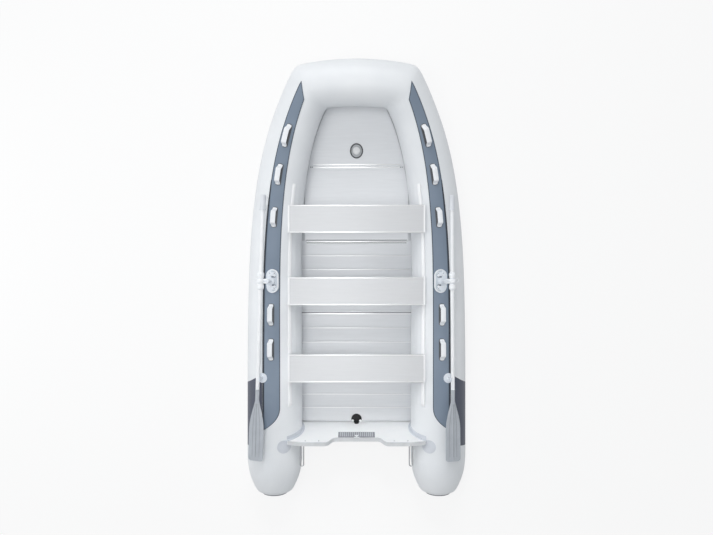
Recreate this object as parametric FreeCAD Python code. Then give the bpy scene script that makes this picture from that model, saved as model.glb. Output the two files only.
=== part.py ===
import FreeCAD, Part
import math
import os
from FreeCAD import Vector

# Inflatable boat with a sectional plank floor, a timber transom, three benches and two stowed oars.
# Millimetres. +X is starboard, +Y is the bow, +Z is up.
# The origin is on the ground, under the middle of the boat's overall length and beam.

# Overall sizes
OVERALL_LENGTH = 3520.0
BEAM = 1800.0
STERN_TUBE_DIAMETER = 445.0
BOW_TUBE_DIAMETER = 360.0

# How the side tubes run in plan and in sheer
BEND_START_Y = -700.0
BEND_POWER = 4.35
BOW_CORNER_HALF_WIDTH = 360.0
BOW_CORNER_SETBACK = 27.0
SHEER_START_Y = 450.0
SHEER_POWER = 2.0
BOW_CORNER_RISE = 245.0
BOW_MIDDLE_RISE = 25.0
TAPER_POWER = 1.5
TAPER_END_SETBACK = 200.0
MITRE_OVERRUN = 300.0

# Stern cones
CONE_LENGTH = 300.0
CONE_CAP_DIAMETER = 206.0
CONE_CAP_THICKNESS = 16.0
CONE_SHOULDER = 90.0

# Skins and what is glued on them
SEAT_GAP = 0.3
BEND_GAP = 0.5
BAND_THICKNESS = 2.2
PATCH_THICKNESS = 4.0
STRAKE_THICKNESS = 6.0
STRAKE_HALF_ANGLE = 7.0
STRAKE_ANGLE = -4.0

# Band on each tube's crown, as angles up from the outboard side
BAND_OUTER_ANGLE_AFT = 74.0
BAND_OUTER_ANGLE_FORWARD = 69.0
BAND_INNER_ANGLE_AFT = 108.0
BAND_INNER_ANGLE_FORWARD = 95.0
BAND_TIP_Y = 1566.0
BAND_WIDEST_Y = 1445.0
BAND_TAIL_Y = -1170.0
BAND_TAIL_LENGTH = 190.0

# Side patches on the outer aft quarters
SIDE_PATCH_FRONT_Y = -723.0
SIDE_PATCH_FRONT_SLOPE = 100.0
SIDE_PATCH_AFT_Y = -1323.0
SIDE_PATCH_AFT_SLOPE = 34.0
SIDE_PATCH_INNER_X = 716.0
SIDE_PATCH_LOW_Z = 268.0

# Floor
FLOOR_TOP_Z = 100.0
FLOOR_THICKNESS = 16.0
FLOOR_HALF_WIDTH = 438.0
FLOOR_AFT_Y = -1170.0
PLANK_COUNT = 13
PLANK_PITCH = 117.0
PLANK_GAP = 0.6
PLANK_BEVEL = 2.0
BOW_BOARD_AFT_Y = 982.0
BOW_BOARD_LENGTH = 490.0
BOW_BOARD_SLOPE = 13.0
BOARD_TUCK = 12.0
JOINER_WIDTH = 34.0
JOINER_LIP = 3.0
STRINGER_WIDTH = 34.0
STRINGER_HEIGHT = 30.0
STRINGER_LIP = 12.0
STRINGER_FRONT_Y = 560.0
VALVE_OPENING_WIDTH = 96.0
VALVE_OPENING_LENGTH = 112.0
VALVE_OPENING_Y = 1108.0
VALVE_DIAMETER = 62.0

# Bottom
KEEL_CLEARANCE = 3.0
KEEL_RISE_START_Y = 500.0
KEEL_BOW_Z = 190.0
KEEL_POWER = 4.5
RIM_HEIGHT = 10.0
BOW_RIM_LIFT = 40.0
BILGE_OFFSET = 10.0
BILGE_DROP = 14.0
BOTTOM_FRONT_Y = 1484.0
CHINE_ANGLE = 50.0

# Transom
TRANSOM_FOOT_Y = -1182.0
TRANSOM_RAKE = 12.5
TRANSOM_THICKNESS = 25.0
TRANSOM_SHOULDER_Z = 456.0
TRANSOM_NOTCH_Z = 380.0
TRANSOM_NOTCH_HALF_WIDTH = 158.0
TRANSOM_SHOULDER_HALF_WIDTH = 262.0
TRANSOM_EAR_HALF_WIDTH = 548.0
TRANSOM_EAR_Z = 436.0
TRANSOM_BOTTOM_Z = 12.0
CAP_THICKNESS = 4.0
HOLDER_FLANGE_HEIGHT = 20.0
HOLDER_FLANGE_THICKNESS = 7.0
HOLDER_WEB = 6.0
HOLDER_PAD_DIAMETER = 104.0
HOLDER_PAD_X = 576.0
HOLDER_PAD_Y = -1300.0
HOLDER_SOLE = 24.0
CAP_LIP = 8.0
CAP_SIDE = 2.5
MOTOR_PLATE_WIDTH = 296.0
INNER_PLATE_HEIGHT = 86.0
OUTER_PLATE_HEIGHT = 190.0
MOTOR_PLATE_THICKNESS = 6.0
PLATE_NOTCH_WIDTH = 44.0
PLATE_NOTCH_DEPTH = 16.0
DRAIN_DIAMETER = 88.0
DRAIN_Y = -1156.0
DRAIN_CLEARANCE = 2.0

# Stern eyes
EYE_ROD_DIAMETER = 9.0
EYE_WIDTH = 36.0
EYE_LENGTH = 200.0
EYE_X = 438.0
EYE_Z = 366.0
EYE_PLATE = 8.0

# Benches and their rails
BENCH_WIDTH = 220.0
BENCH_THICKNESS = 28.0
BENCH_TOP_Z = 456.0
BENCH_HALF_LENGTH = 543.0
BENCH_END_CAP = 14.0
BENCHES_Y = {"forward": 509.0, "middle": -64.0, "aft": -674.0}
BENCH_FOOT_WIDTH = 150.0
BENCH_FOOT_INNER_X = 478.0
RAIL_ANGLE = 133.0
RAIL_WIDTH = 22.0
RAIL_HEIGHT = 18.0
RAIL_FRONT_Y = 820.0
RAIL_AFT_Y = -985.0

# Grab handles
HANDLE_LENGTH = 176.0
HANDLE_BASE_WIDTH = 48.0
HANDLE_BASE_THICKNESS = 5.0
HANDLE_GRIP_WIDTH = 36.0
HANDLE_GRIP_THICKNESS = 8.0
HANDLE_RISE = 34.0
HANDLE_SPAN = 118.0
HANDLE_PLACES_Y = [1170.0, 872.0, 520.0, -247.0, -526.0]

# Oars and oarlocks
OARLOCK_Y = 17.0
OARLOCK_PAD_LENGTH = 182.0
OARLOCK_PAD_WIDTH = 100.0
OARLOCK_PAD_THICKNESS = 6.0
OARLOCK_BOSS_DIAMETER = 54.0
OARLOCK_BOSS_HEIGHT = 26.0
POST_LEAN = 16.0
POST_DIAMETER = 16.0
POST_FIT = 0.05
PIVOT_HEIGHT = 88.0
PIVOT_REACH = 62.0
ARM_WIDTH = 26.0
ARM_THICKNESS = 12.0
SLEEVE_LENGTH = 48.0
SLEEVE_WALL = 5.0
SLEEVE_FIT = 0.1
DIP_PIN_DIAMETER = 10.0
DIP_PIN_FIT = 0.05
FORK_GAP = 1.0
FORK_THICKNESS = 8.0
OAR_SHAFT_DIAMETER = 30.0
STOP_RING_DIAMETER = 50.0
STOP_RING_LENGTH = 14.0
STOP_RING_GAP = 0.6
OAR_GRIP_DIAMETER = 42.0
OAR_GRIP_LENGTH = 120.0
OAR_REACH_FORWARD = 674.0
OAR_REACH_AFT = 1409.0
BLADE_LENGTH = 560.0
BLADE_WIDTH = 124.0
BLADE_NECK_LENGTH = 90.0
BLADE_FLARE_LENGTH = 190.0
BLADE_THICKNESS = 9.0
BLADE_NECK_DIAMETER = 36.0
BLADE_RIB_WIDTH = 20.0
BLADE_CORNER = 18.0
OAR_YAW_PORT = 1.8
OAR_YAW_STARBOARD = 0.3

# Oar clips
CLIP_Y = -751.0
CLIP_PAD_DIAMETER = 78.0
CLIP_LENGTH = 30.0
CLIP_WALL = 7.0
CLIP_GAP = 0.5

# Tow ring and valves
TOW_PATCH_WIDTH = 120.0
TOW_RING_DIAMETER = 58.0
TOW_RING_ROD = 8.0
TUBE_VALVE_DIAMETER = 64.0
TUBE_VALVE_HEIGHT = 9.0
TUBE_VALVE_Y = -760.0
TUBE_VALVE_ANGLE = 168.0

# Values that follow from the sizes above
stern_radius = STERN_TUBE_DIAMETER / 2
bow_radius = BOW_TUBE_DIAMETER / 2
tube_x = BEAM / 2 - STRAKE_THICKNESS - SEAT_GAP - stern_radius
bow_middle_y = OVERALL_LENGTH / 2 - STRAKE_THICKNESS - SEAT_GAP - bow_radius
corner_y = bow_middle_y - BOW_CORNER_SETBACK
stern_y = -OVERALL_LENGTH / 2
cone_front_y = stern_y + CONE_CAP_THICKNESS + CONE_LENGTH
corner_z = stern_radius + BOW_CORNER_RISE
bow_middle_z = corner_z + BOW_MIDDLE_RISE
rake = math.radians(TRANSOM_RAKE)
floor_bottom_z = FLOOR_TOP_Z - FLOOR_THICKNESS
board_front_y = BOW_BOARD_AFT_Y + BOW_BOARD_LENGTH * math.cos(math.radians(BOW_BOARD_SLOPE))

os.makedirs("parts", exist_ok=True)
SIDES = {"port": -1, "starboard": 1}


def save(name, shapes):
    """Write one node: a single solid, or several solids that do not touch."""
    solids = []
    for shape in shapes if isinstance(shapes, list) else [shapes]:
        solids.extend(shape.Solids)
    node = solids[0] if len(solids) == 1 else Part.makeCompound(solids)
    node.exportStep("parts/" + name + ".step")


def mirrored(shape):
    """The port twin of a starboard shape."""
    return shape.mirror(Vector(0, 0, 0), Vector(1, 0, 0))


def both_sides(name, shapes):
    """Write a starboard node and its port twin."""
    shapes = shapes if isinstance(shapes, list) else [shapes]
    save(name + "_starboard", shapes)
    save(name + "_port", [mirrored(shape) for shape in shapes])


def save_pair(name, shape):
    """Write one node that holds a starboard piece and its port twin."""
    save(name, [shape, mirrored(shape)])


def fuse_all(shapes):
    body = shapes[0]
    for shape in shapes[1:]:
        body = body.fuse(shape)
    return body.removeSplitter()


def polygon_face(points):
    return Part.Face(Part.makePolygon(points + [points[0]]))


def box_between(low, high):
    size = Vector(*high) - Vector(*low)
    return Part.makeBox(size.x, size.y, size.z, Vector(*low))


def cylinder(start, direction, radius, length):
    return Part.makeCylinder(radius, length, start, direction)


# Tube centreline of the starboard side, as functions of the distance along the boat

def bend_share(y):
    return max(0.0, (y - BEND_START_Y) / (corner_y - BEND_START_Y))


def centre_x(y):
    return tube_x - (tube_x - BOW_CORNER_HALF_WIDTH) * bend_share(y) ** BEND_POWER


def centre_z(y):
    share = max(0.0, (y - SHEER_START_Y) / (corner_y - SHEER_START_Y))
    return stern_radius + BOW_CORNER_RISE * share ** SHEER_POWER


def tube_radius(y):
    share = max(0.0, (y - BEND_START_Y) / (corner_y - TAPER_END_SETBACK - BEND_START_Y))
    return stern_radius - (stern_radius - bow_radius) * min(1.0, share) ** TAPER_POWER


def centre(y):
    """A point of the centreline, which runs on straight past the bow corner."""
    if y <= corner_y + 1.0:
        return Vector(centre_x(y), y, centre_z(y))
    last = Vector(centre_x(corner_y), corner_y, centre_z(corner_y))
    before = Vector(centre_x(corner_y - 1.0), corner_y - 1.0, centre_z(corner_y - 1.0))
    return last + (last - before) * (y - corner_y)


def heading(y):
    step = 1.0
    along = centre(y + step) - centre(y - step)
    return along.normalize()


def ring_frame(y):
    """Outboard and upward directions of the tube's round section at y."""
    along = heading(y)
    outboard = along.cross(Vector(0, 0, 1)).normalize()
    upward = outboard.cross(along).normalize()
    return outboard, upward


def on_tube(y, angle, extra=0.0):
    """A point of the tube's skin, with the angle counted up from the outboard side."""
    outboard, upward = ring_frame(y)
    turn = math.radians(angle)
    reach = tube_radius(y) + extra
    return centre(y) + outboard * (reach * math.cos(turn)) + upward * (reach * math.sin(turn))


def tube_places(first_y, last_y, spacing=90.0):
    count = max(2, int(math.ceil((last_y - first_y) / spacing)) + 1)
    return [first_y + (last_y - first_y) * i / (count - 1) for i in range(count)]


def ring_wire(middle, along, radius):
    """Round section in two halves that meet at its outboard and inboard sides."""
    across = along.cross(Vector(0, 0, 1)).normalize() * radius
    upward = across.cross(along).normalize() * radius
    top = Part.Arc(middle + across, middle + upward, middle - across)
    bottom = Part.Arc(middle - across, middle - upward, middle + across)
    return Part.Wire([top.toShape(), bottom.toShape()])


def forward_places():
    """Sections from the start of the bend to past the mitre, the same for the tube and the strips on it."""
    overrun = MITRE_OVERRUN * heading(corner_y).y
    return tube_places(BEND_START_Y, corner_y) + [corner_y + overrun / 2, corner_y + overrun]


def tube_run(places, extra=0.0):
    """A stretch of side tube, grown by extra."""
    rings = [ring_wire(centre(y), heading(y), tube_radius(y) + extra) for y in places]
    return Part.makeLoft(rings, True, False)


def strip_wire(y, angle_from, angle_to, low, high):
    """Section of a strip that lies on the tube between two angles and two heights over the skin."""
    middle_angle = (angle_from + angle_to) / 2
    low_arc = Part.Arc(on_tube(y, angle_from, low), on_tube(y, middle_angle, low), on_tube(y, angle_to, low))
    high_arc = Part.Arc(on_tube(y, angle_to, high), on_tube(y, middle_angle, high), on_tube(y, angle_from, high))
    first_side = Part.LineSegment(on_tube(y, angle_to, low), on_tube(y, angle_to, high))
    last_side = Part.LineSegment(on_tube(y, angle_from, high), on_tube(y, angle_from, low))
    return Part.Wire([low_arc.toShape(), first_side.toShape(), high_arc.toShape(), last_side.toShape()])


def strip(places, edges, low, high):
    """A strip along the tube; edges(y) gives its two edge angles."""
    return Part.makeLoft([strip_wire(y, *edges(y), low, high) for y in places], True, False)


# Mitre between the side tube and the bow tube

side_heading = heading(corner_y)
corner = centre(corner_y)


def bow_centre(x):
    share = (x / BOW_CORNER_HALF_WIDTH) ** 2
    return Vector(x, bow_middle_y - BOW_CORNER_SETBACK * share, bow_middle_z - BOW_MIDDLE_RISE * share)


def bow_heading(x):
    return (bow_centre(x - 1.0) - bow_centre(x + 1.0)).normalize()


mitre_normal = (side_heading + bow_heading(BOW_CORNER_HALF_WIDTH)).normalize()


def mitre_block(forward):
    """A large block that fills one side of the starboard mitre plane."""
    size = 1600.0
    direction = mitre_normal if forward else mitre_normal * -1
    block = Part.makeBox(size, size, size, Vector(-size / 2, -size / 2, 0))
    block.Placement = FreeCAD.Placement(corner, FreeCAD.Rotation(Vector(0, 0, 1), direction))
    return block


def make_side_tubes():
    straight = cylinder(Vector(tube_x, cone_front_y, stern_radius), Vector(0, 1, 0), stern_radius,
                        BEND_START_Y - cone_front_y)
    both_sides("tube_aft", straight)
    curved = tube_run(forward_places()).cut(mitre_block(True))
    both_sides("tube_forward", curved)
    return straight, curved


def make_bow_tube(extra=0.0):
    reach = BOW_CORNER_HALF_WIDTH
    inner_count = 4
    places = [-reach + 2 * reach * i / (inner_count * 2) for i in range(inner_count * 2 + 1)]
    rings = [ring_wire(bow_centre(x), bow_heading(x), bow_radius + extra) for x in places]
    outward = bow_heading(reach) * -1
    for share in (0.5, 1.0):
        end = bow_centre(reach) + outward * (MITRE_OVERRUN * share)
        rings.append(ring_wire(end, bow_heading(reach), bow_radius + extra))
        port_end = Vector(-end.x, end.y, end.z)
        port_along = bow_heading(-reach)
        rings.insert(0, ring_wire(port_end, port_along, bow_radius + extra))
    tube = Part.makeLoft(rings, True, False)
    keep_out = mitre_block(False)
    return tube.cut(keep_out).cut(mirrored(keep_out))


def make_cones():
    """Blunt stern cone with a moulded end cap, turned about the tube's axis."""
    cap_radius = CONE_CAP_DIAMETER / 2
    front = CONE_LENGTH
    shoulder = CONE_LENGTH - CONE_SHOULDER
    profile = Part.BSplineCurve()
    profile.interpolate([Vector(stern_radius, shoulder, 0), Vector(stern_radius * 0.93, shoulder * 0.55, 0),
                         Vector(stern_radius * 0.74, shoulder * 0.2, 0), Vector(cap_radius + 4.0, 0, 0)],
                        InitialTangent=Vector(0, -90, 0), FinalTangent=Vector(-60, -50, 0))
    edges = [Part.LineSegment(Vector(0, front, 0), Vector(stern_radius, front, 0)).toShape(),
             Part.LineSegment(Vector(stern_radius, front, 0), Vector(stern_radius, shoulder, 0)).toShape(),
             profile.toShape(),
             Part.LineSegment(Vector(cap_radius + 4.0, 0, 0), Vector(0, 0, 0)).toShape(),
             Part.LineSegment(Vector(0, 0, 0), Vector(0, front, 0)).toShape()]
    cone = Part.Face(Part.Wire(edges)).revolve(Vector(0, 0, 0), Vector(0, 1, 0), 360)
    cone.translate(Vector(tube_x, stern_y + CONE_CAP_THICKNESS, stern_radius))
    both_sides("cone", cone)
    axis_end = Vector(tube_x, stern_y + CONE_CAP_THICKNESS - SEAT_GAP, stern_radius)
    cap = cylinder(axis_end, Vector(0, -1, 0), cap_radius, CONE_CAP_THICKNESS - SEAT_GAP)
    cap = cap.makeFillet(6.0, [cap.Edges[0] if cap.Edges[0].BoundBox.YMax < axis_end.y - 5 else cap.Edges[2]])
    save_pair("cone_caps", cap)


def band_edges(y):
    """Edge angles of the crown band, before its tip and its tail are trimmed."""
    share = max(0.0, min(1.0, y / BAND_WIDEST_Y))
    outer = BAND_OUTER_ANGLE_AFT + (BAND_OUTER_ANGLE_FORWARD - BAND_OUTER_ANGLE_AFT) * share
    inner = BAND_INNER_ANGLE_AFT + (BAND_INNER_ANGLE_FORWARD - BAND_INNER_ANGLE_AFT) * share ** 2
    return outer, inner


def make_bands():
    """Band on each tube's crown, pointed at the bow and rounded off at the stern."""
    high = SEAT_GAP + BAND_THICKNESS
    aft = strip(tube_places(BAND_TAIL_Y, BEND_START_Y, 400.0), band_edges, SEAT_GAP, high)
    forward = strip(forward_places(), band_edges, BEND_GAP, high).cut(mitre_block(True))
    band = fuse_all([aft, forward])
    tail_y = BAND_TAIL_Y + BAND_TAIL_LENGTH
    outer_x = on_tube(BAND_TAIL_Y, BAND_OUTER_ANGLE_AFT).x
    inner_x = on_tube(tail_y, BAND_INNER_ANGLE_AFT).x - 1.0
    shoulder = Vector(inner_x + (outer_x - inner_x) * 0.42, BAND_TAIL_Y + BAND_TAIL_LENGTH * 0.3, 0)
    tail_arc = Part.Arc(Vector(inner_x, tail_y, 0), shoulder, Vector(outer_x, BAND_TAIL_Y, 0)).toShape()
    away = [Vector(outer_x, BAND_TAIL_Y, 0), Vector(outer_x, BAND_TAIL_Y - 50.0, 0),
            Vector(inner_x - 50.0, BAND_TAIL_Y - 50.0, 0), Vector(inner_x - 50.0, tail_y, 0),
            Vector(inner_x, tail_y, 0)]
    tail_cut = Part.Face(Part.Wire([tail_arc] + Part.makePolygon(away).Edges)).extrude(Vector(0, 0, BEAM))
    widest = on_tube(BAND_WIDEST_Y, band_edges(BAND_WIDEST_Y)[1])
    tip = on_tube(BAND_TIP_Y, band_edges(BAND_TIP_Y)[0])
    tip_cut = polygon_face([Vector(widest.x - 3.0, widest.y - 10.0, 0), Vector(tip.x, tip.y, 0),
                            Vector(tip.x + 60.0, tip.y + 100.0, 0), Vector(0, tip.y + 100.0, 0),
                            Vector(0, widest.y - 10.0, 0)]).extrude(Vector(0, 0, BEAM))
    both_sides("crown_band", band.cut(tail_cut).cut(tip_cut))


def strake_edges(y):
    return STRAKE_ANGLE - STRAKE_HALF_ANGLE, STRAKE_ANGLE + STRAKE_HALF_ANGLE


def make_rub_strakes():
    low = SEAT_GAP
    high = SEAT_GAP + STRAKE_THICKNESS
    aft = strip([cone_front_y, BEND_START_Y], strake_edges, low, high)
    forward = strip(forward_places(), strake_edges, BEND_GAP, high).cut(mitre_block(True))
    both_sides("rub_strake", fuse_all([aft, forward]))


def make_bow_strake():
    """Rub strake round the front of the bow tube."""
    count = 8
    reach = BOW_CORNER_HALF_WIDTH + 120.0
    sections = []
    for i in range(count + 1):
        x = -reach + 2 * reach * i / count
        flat_x = max(-BOW_CORNER_HALF_WIDTH, min(BOW_CORNER_HALF_WIDTH, x))
        along = bow_heading(flat_x)
        middle = bow_centre(flat_x) + along * (flat_x - x)
        upward = Vector(0, 0, 1) - along * along.z
        upward.normalize()
        ahead = upward.cross(along) * -1
        points = []
        for height in (SEAT_GAP, SEAT_GAP + STRAKE_THICKNESS):
            for angle in (STRAKE_ANGLE - STRAKE_HALF_ANGLE, STRAKE_ANGLE, STRAKE_ANGLE + STRAKE_HALF_ANGLE):
                turn = math.radians(angle)
                reach_out = bow_radius + height
                points.append(middle + ahead * (reach_out * math.cos(turn)) + upward * (reach_out * math.sin(turn)))
        edges = [Part.Arc(points[0], points[1], points[2]), Part.LineSegment(points[2], points[5]),
                 Part.Arc(points[5], points[4], points[3]), Part.LineSegment(points[3], points[0])]
        sections.append(Part.Wire([edge.toShape() for edge in edges]))
    strake = Part.makeLoft(sections, True, False)
    keep_out = mitre_block(False)
    save("rub_strake_bow", strake.cut(keep_out).cut(mirrored(keep_out)))


def make_side_patches():
    low = stern_radius + SEAT_GAP
    start = Vector(tube_x, cone_front_y, stern_radius)
    length = BEND_START_Y - cone_front_y
    shell = cylinder(start, Vector(0, 1, 0), low + BAND_THICKNESS, length)
    shell = shell.cut(cylinder(start, Vector(0, 1, 0), low, length))
    outer_x = BEAM / 2 + 10.0
    plan = polygon_face([Vector(band_outer_x(), SIDE_PATCH_FRONT_Y, SIDE_PATCH_LOW_Z),
                         Vector(outer_x, SIDE_PATCH_FRONT_Y - SIDE_PATCH_FRONT_SLOPE, SIDE_PATCH_LOW_Z),
                         Vector(outer_x, SIDE_PATCH_AFT_Y, SIDE_PATCH_LOW_Z),
                         Vector(band_outer_x(), SIDE_PATCH_AFT_Y + SIDE_PATCH_AFT_SLOPE, SIDE_PATCH_LOW_Z)])
    save_pair("side_patches", shell.common(plan.extrude(Vector(0, 0, stern_radius * 2))))


def band_outer_x():
    """Where the side patch starts, just outboard of the crown band."""
    turn = math.radians(BAND_OUTER_ANGLE_AFT)
    return tube_x + (stern_radius + BAND_THICKNESS) * math.cos(turn) + 2.0


# Bottom and floor

def keel_z(y):
    share = max(0.0, (y - KEEL_RISE_START_Y) / (BOTTOM_FRONT_Y - KEEL_RISE_START_Y))
    return KEEL_CLEARANCE + (KEEL_BOW_Z - KEEL_CLEARANCE) * share ** KEEL_POWER


def floor_underside_z(y):
    return floor_bottom_z + max(0.0, y - BOW_BOARD_AFT_Y) * math.tan(math.radians(BOW_BOARD_SLOPE))


def skin_point(y, angle, extra):
    """Where a ray down and inboard from the centreline, square to the boat's length, leaves the tube."""
    turn = math.radians(angle)
    direction = Vector(-math.cos(turn), 0, -math.sin(turn))
    reach = tube_radius(y)
    near_y = y
    for _ in range(30):
        point = centre(y) + direction * reach
        near_y += (point - centre(near_y)).dot(heading(near_y))
        reach += tube_radius(near_y) + extra - (point - centre(near_y)).Length
    return point


def bow_underside_z(y):
    """Underside of the bow tube above y, near the inner end of its mitre."""
    middle = bow_centre(BOW_CORNER_HALF_WIDTH - bow_radius / 2)
    if middle.y - y >= bow_radius:
        return middle.z
    return middle.z - math.sqrt(bow_radius ** 2 - (middle.y - y) ** 2)


def bottom_section(y):
    """Section of the bottom: keel, bilge below the floor's edge, then chine and rim seated on the tube."""
    chine_z = centre_z(y) - tube_radius(y) * math.sin(math.radians(CHINE_ANGLE))
    bow_share = max(0.0, (y - board_front_y) / (BOTTOM_FRONT_Y - board_front_y))
    lifted_z = chine_z + RIM_HEIGHT + BOW_RIM_LIFT * bow_share ** 2
    rim_z = max(floor_bottom_z - SEAT_GAP, min(lifted_z, bow_underside_z(y) - 3 * SEAT_GAP))
    rim_angle = math.degrees(math.asin((centre_z(y) - rim_z) / tube_radius(y)))
    bulge = tube_radius(y) * (1.0 / math.cos(math.radians(CHINE_ANGLE - rim_angle) / 2) - 1.0)
    chine = skin_point(y, CHINE_ANGLE, 2 * SEAT_GAP + bulge)
    rim = skin_point(y, rim_angle, 2 * SEAT_GAP + bulge)
    rim.z = min(rim.z, rim_z)
    bilge_x = board_half_width(y) + BILGE_OFFSET
    straight_z = keel_z(y) + (chine.z - keel_z(y)) * bilge_x / chine.x
    bilge = Vector(bilge_x, y, min(floor_underside_z(y) - BILGE_DROP, straight_z))
    half = [bilge, chine, rim]
    points = [Vector(0, y, keel_z(y))] + half + [Vector(-point.x, y, point.z) for point in reversed(half)]
    return Part.makePolygon(points + [points[0]])


def board_half_width(y):
    """Half width of the floor, tucked a little under the side tubes."""
    return min(FLOOR_HALF_WIDTH, centre_x(y) - tube_radius(y) + BOARD_TUCK)


def transom_plane_block(front_offset, size=2400.0):
    """Everything aft of the raked plane that lies front_offset ahead of the transom's front face."""
    block = Part.makeBox(size, size, size, Vector(-size / 2, -size, -size / 2))
    block.rotate(Vector(0, 0, 0), Vector(1, 0, 0), TRANSOM_RAKE)
    offset = front_offset / math.cos(rake)
    block.translate(Vector(0, TRANSOM_FOOT_Y + offset, FLOOR_TOP_Z))
    return block


def make_bottom():
    places = tube_places(TRANSOM_FOOT_Y - 40.0, BOTTOM_FRONT_Y, 110.0)
    bottom = Part.makeLoft([bottom_section(y) for y in places], True, True).cut(transom_plane_block(SEAT_GAP))
    well = floor_outline(BOW_BOARD_AFT_Y - 60.0, BOW_BOARD_AFT_Y + BOW_BOARD_LENGTH + 3.0,
                         floor_bottom_z - SEAT_GAP, 4.0)
    bottom = bottom.cut(tilt_bow_board(well.extrude(Vector(0, 0, BEAM))))
    level_well = floor_outline(KEEL_RISE_START_Y, BOW_BOARD_AFT_Y, floor_bottom_z - SEAT_GAP, 4.0)
    bottom = bottom.cut(level_well.extrude(Vector(0, 0, BEAM)))
    save("hull_bottom", max(bottom.Solids, key=lambda solid: solid.Volume))


def floor_outline(first_y, last_y, low_z, grow=0.0):
    """Plan outline of the floor between two places along the boat."""
    places = tube_places(first_y, last_y, 110.0)
    right = [Vector(board_half_width(y) + grow, y, low_z) for y in places]
    left = [Vector(-point.x, point.y, low_z) for point in reversed(right)]
    if board_half_width(first_y) == board_half_width(last_y):
        return polygon_face([right[0], right[-1], left[0], left[-1]])
    side = Part.BSplineCurve()
    side.interpolate(right)
    other = Part.BSplineCurve()
    other.interpolate(left)
    ahead = Part.LineSegment(right[-1], left[0])
    behind = Part.LineSegment(left[-1], right[0])
    return Part.Face(Part.Wire([side.toShape(), ahead.toShape(), other.toShape(), behind.toShape()]))


def tilt_bow_board(shape):
    shape.rotate(Vector(0, BOW_BOARD_AFT_Y, FLOOR_TOP_Z), Vector(1, 0, 0), BOW_BOARD_SLOPE)
    return shape


def make_floor():
    gap = PLANK_GAP
    last_plank_y = FLOOR_AFT_Y + PLANK_COUNT * PLANK_PITCH
    up = Vector(0, 0, FLOOR_THICKNESS)
    bow_board = floor_outline(BOW_BOARD_AFT_Y, BOW_BOARD_AFT_Y + BOW_BOARD_LENGTH, floor_bottom_z).extrude(up)
    opening = valve_opening(VALVE_OPENING_WIDTH / 2, VALVE_OPENING_LENGTH / 2, FLOOR_THICKNESS + 20.0)
    save("floor_bow_board", tilt_bow_board(bow_board.cut(opening)))
    rim = valve_opening(VALVE_OPENING_WIDTH / 2 + 7.0, VALVE_OPENING_LENGTH / 2 + 7.0, 4.0)
    rim = rim.cut(valve_opening(VALVE_OPENING_WIDTH / 2 - 3.0, VALVE_OPENING_LENGTH / 2 - 3.0, 20.0))
    rim.translate(Vector(0, 0, FLOOR_THICKNESS + 10.0 + SEAT_GAP))
    save("valve_opening_rim", tilt_bow_board(rim))
    board = floor_outline(last_plank_y + gap, BOW_BOARD_AFT_Y - gap, floor_bottom_z).extrude(up)
    save("floor_forward_board", board)
    planks = []
    for i in range(PLANK_COUNT):
        aft_y = FLOOR_AFT_Y + i * PLANK_PITCH
        plank = box_between((-FLOOR_HALF_WIDTH, aft_y, floor_bottom_z),
                            (FLOOR_HALF_WIDTH, aft_y + PLANK_PITCH - gap, FLOOR_TOP_Z))
        top_edges = [edge for edge in plank.Edges
                     if edge.BoundBox.ZMin > FLOOR_TOP_Z - 1.0 and edge.BoundBox.XLength > FLOOR_HALF_WIDTH]
        planks.append(plank.makeChamfer(PLANK_BEVEL, top_edges))
    drain_hole = cylinder(Vector(0, DRAIN_Y, 0), Vector(0, 0, 1), DRAIN_DIAMETER / 2 + DRAIN_CLEARANCE, 200.0)
    planks[0] = planks[0].cut(drain_hole)
    save("floor_planks", planks)
    save("floor_joiners", [make_joiner(last_plank_y), make_joiner(BOW_BOARD_AFT_Y)])


def valve_opening(half_width, half_length, height):
    """Upright oval block at the valve opening, from below the board up, before the board is tilted."""
    ellipse = Part.Ellipse(Vector(0, VALVE_OPENING_Y, floor_bottom_z - 10.0), half_length, half_width)
    wire = Part.Wire(ellipse.toShape())
    wire.rotate(Vector(0, VALVE_OPENING_Y, floor_bottom_z - 10.0), Vector(0, 0, 1), 90)
    return Part.Face(wire).extrude(Vector(0, 0, height))


def make_joiner(y):
    """Flat lip of the extruded joiner that lies over a floor joint."""
    half = min(board_half_width(y) - 8.0, FLOOR_HALF_WIDTH - STRINGER_LIP - 2.0)
    low_z = FLOOR_TOP_Z + SEAT_GAP
    lip = box_between((-half, y - JOINER_WIDTH, low_z), (half, y - 2.0, low_z + JOINER_LIP))
    lip = lip.makeFillet(JOINER_LIP * 0.45, [edge for edge in lip.Edges if edge.BoundBox.ZMin > low_z + 1.0
                                             and edge.BoundBox.XLength > half])
    return lip


def make_stringers():
    inner_x = FLOOR_HALF_WIDTH + 1.0
    outer_x = inner_x + STRINGER_WIDTH
    low_z = floor_bottom_z - SEAT_GAP + 1.0
    profile = polygon_face([Vector(inner_x, FLOOR_AFT_Y, low_z), Vector(outer_x, FLOOR_AFT_Y, low_z),
                            Vector(outer_x, FLOOR_AFT_Y, low_z + STRINGER_HEIGHT),
                            Vector(inner_x - STRINGER_LIP, FLOOR_AFT_Y, low_z + STRINGER_HEIGHT),
                            Vector(inner_x - STRINGER_LIP, FLOOR_AFT_Y, FLOOR_TOP_Z + SEAT_GAP),
                            Vector(inner_x, FLOOR_AFT_Y, FLOOR_TOP_Z + SEAT_GAP)])
    save_pair("floor_stringers", profile.extrude(Vector(0, STRINGER_FRONT_Y - FLOOR_AFT_Y, 0)))


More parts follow.
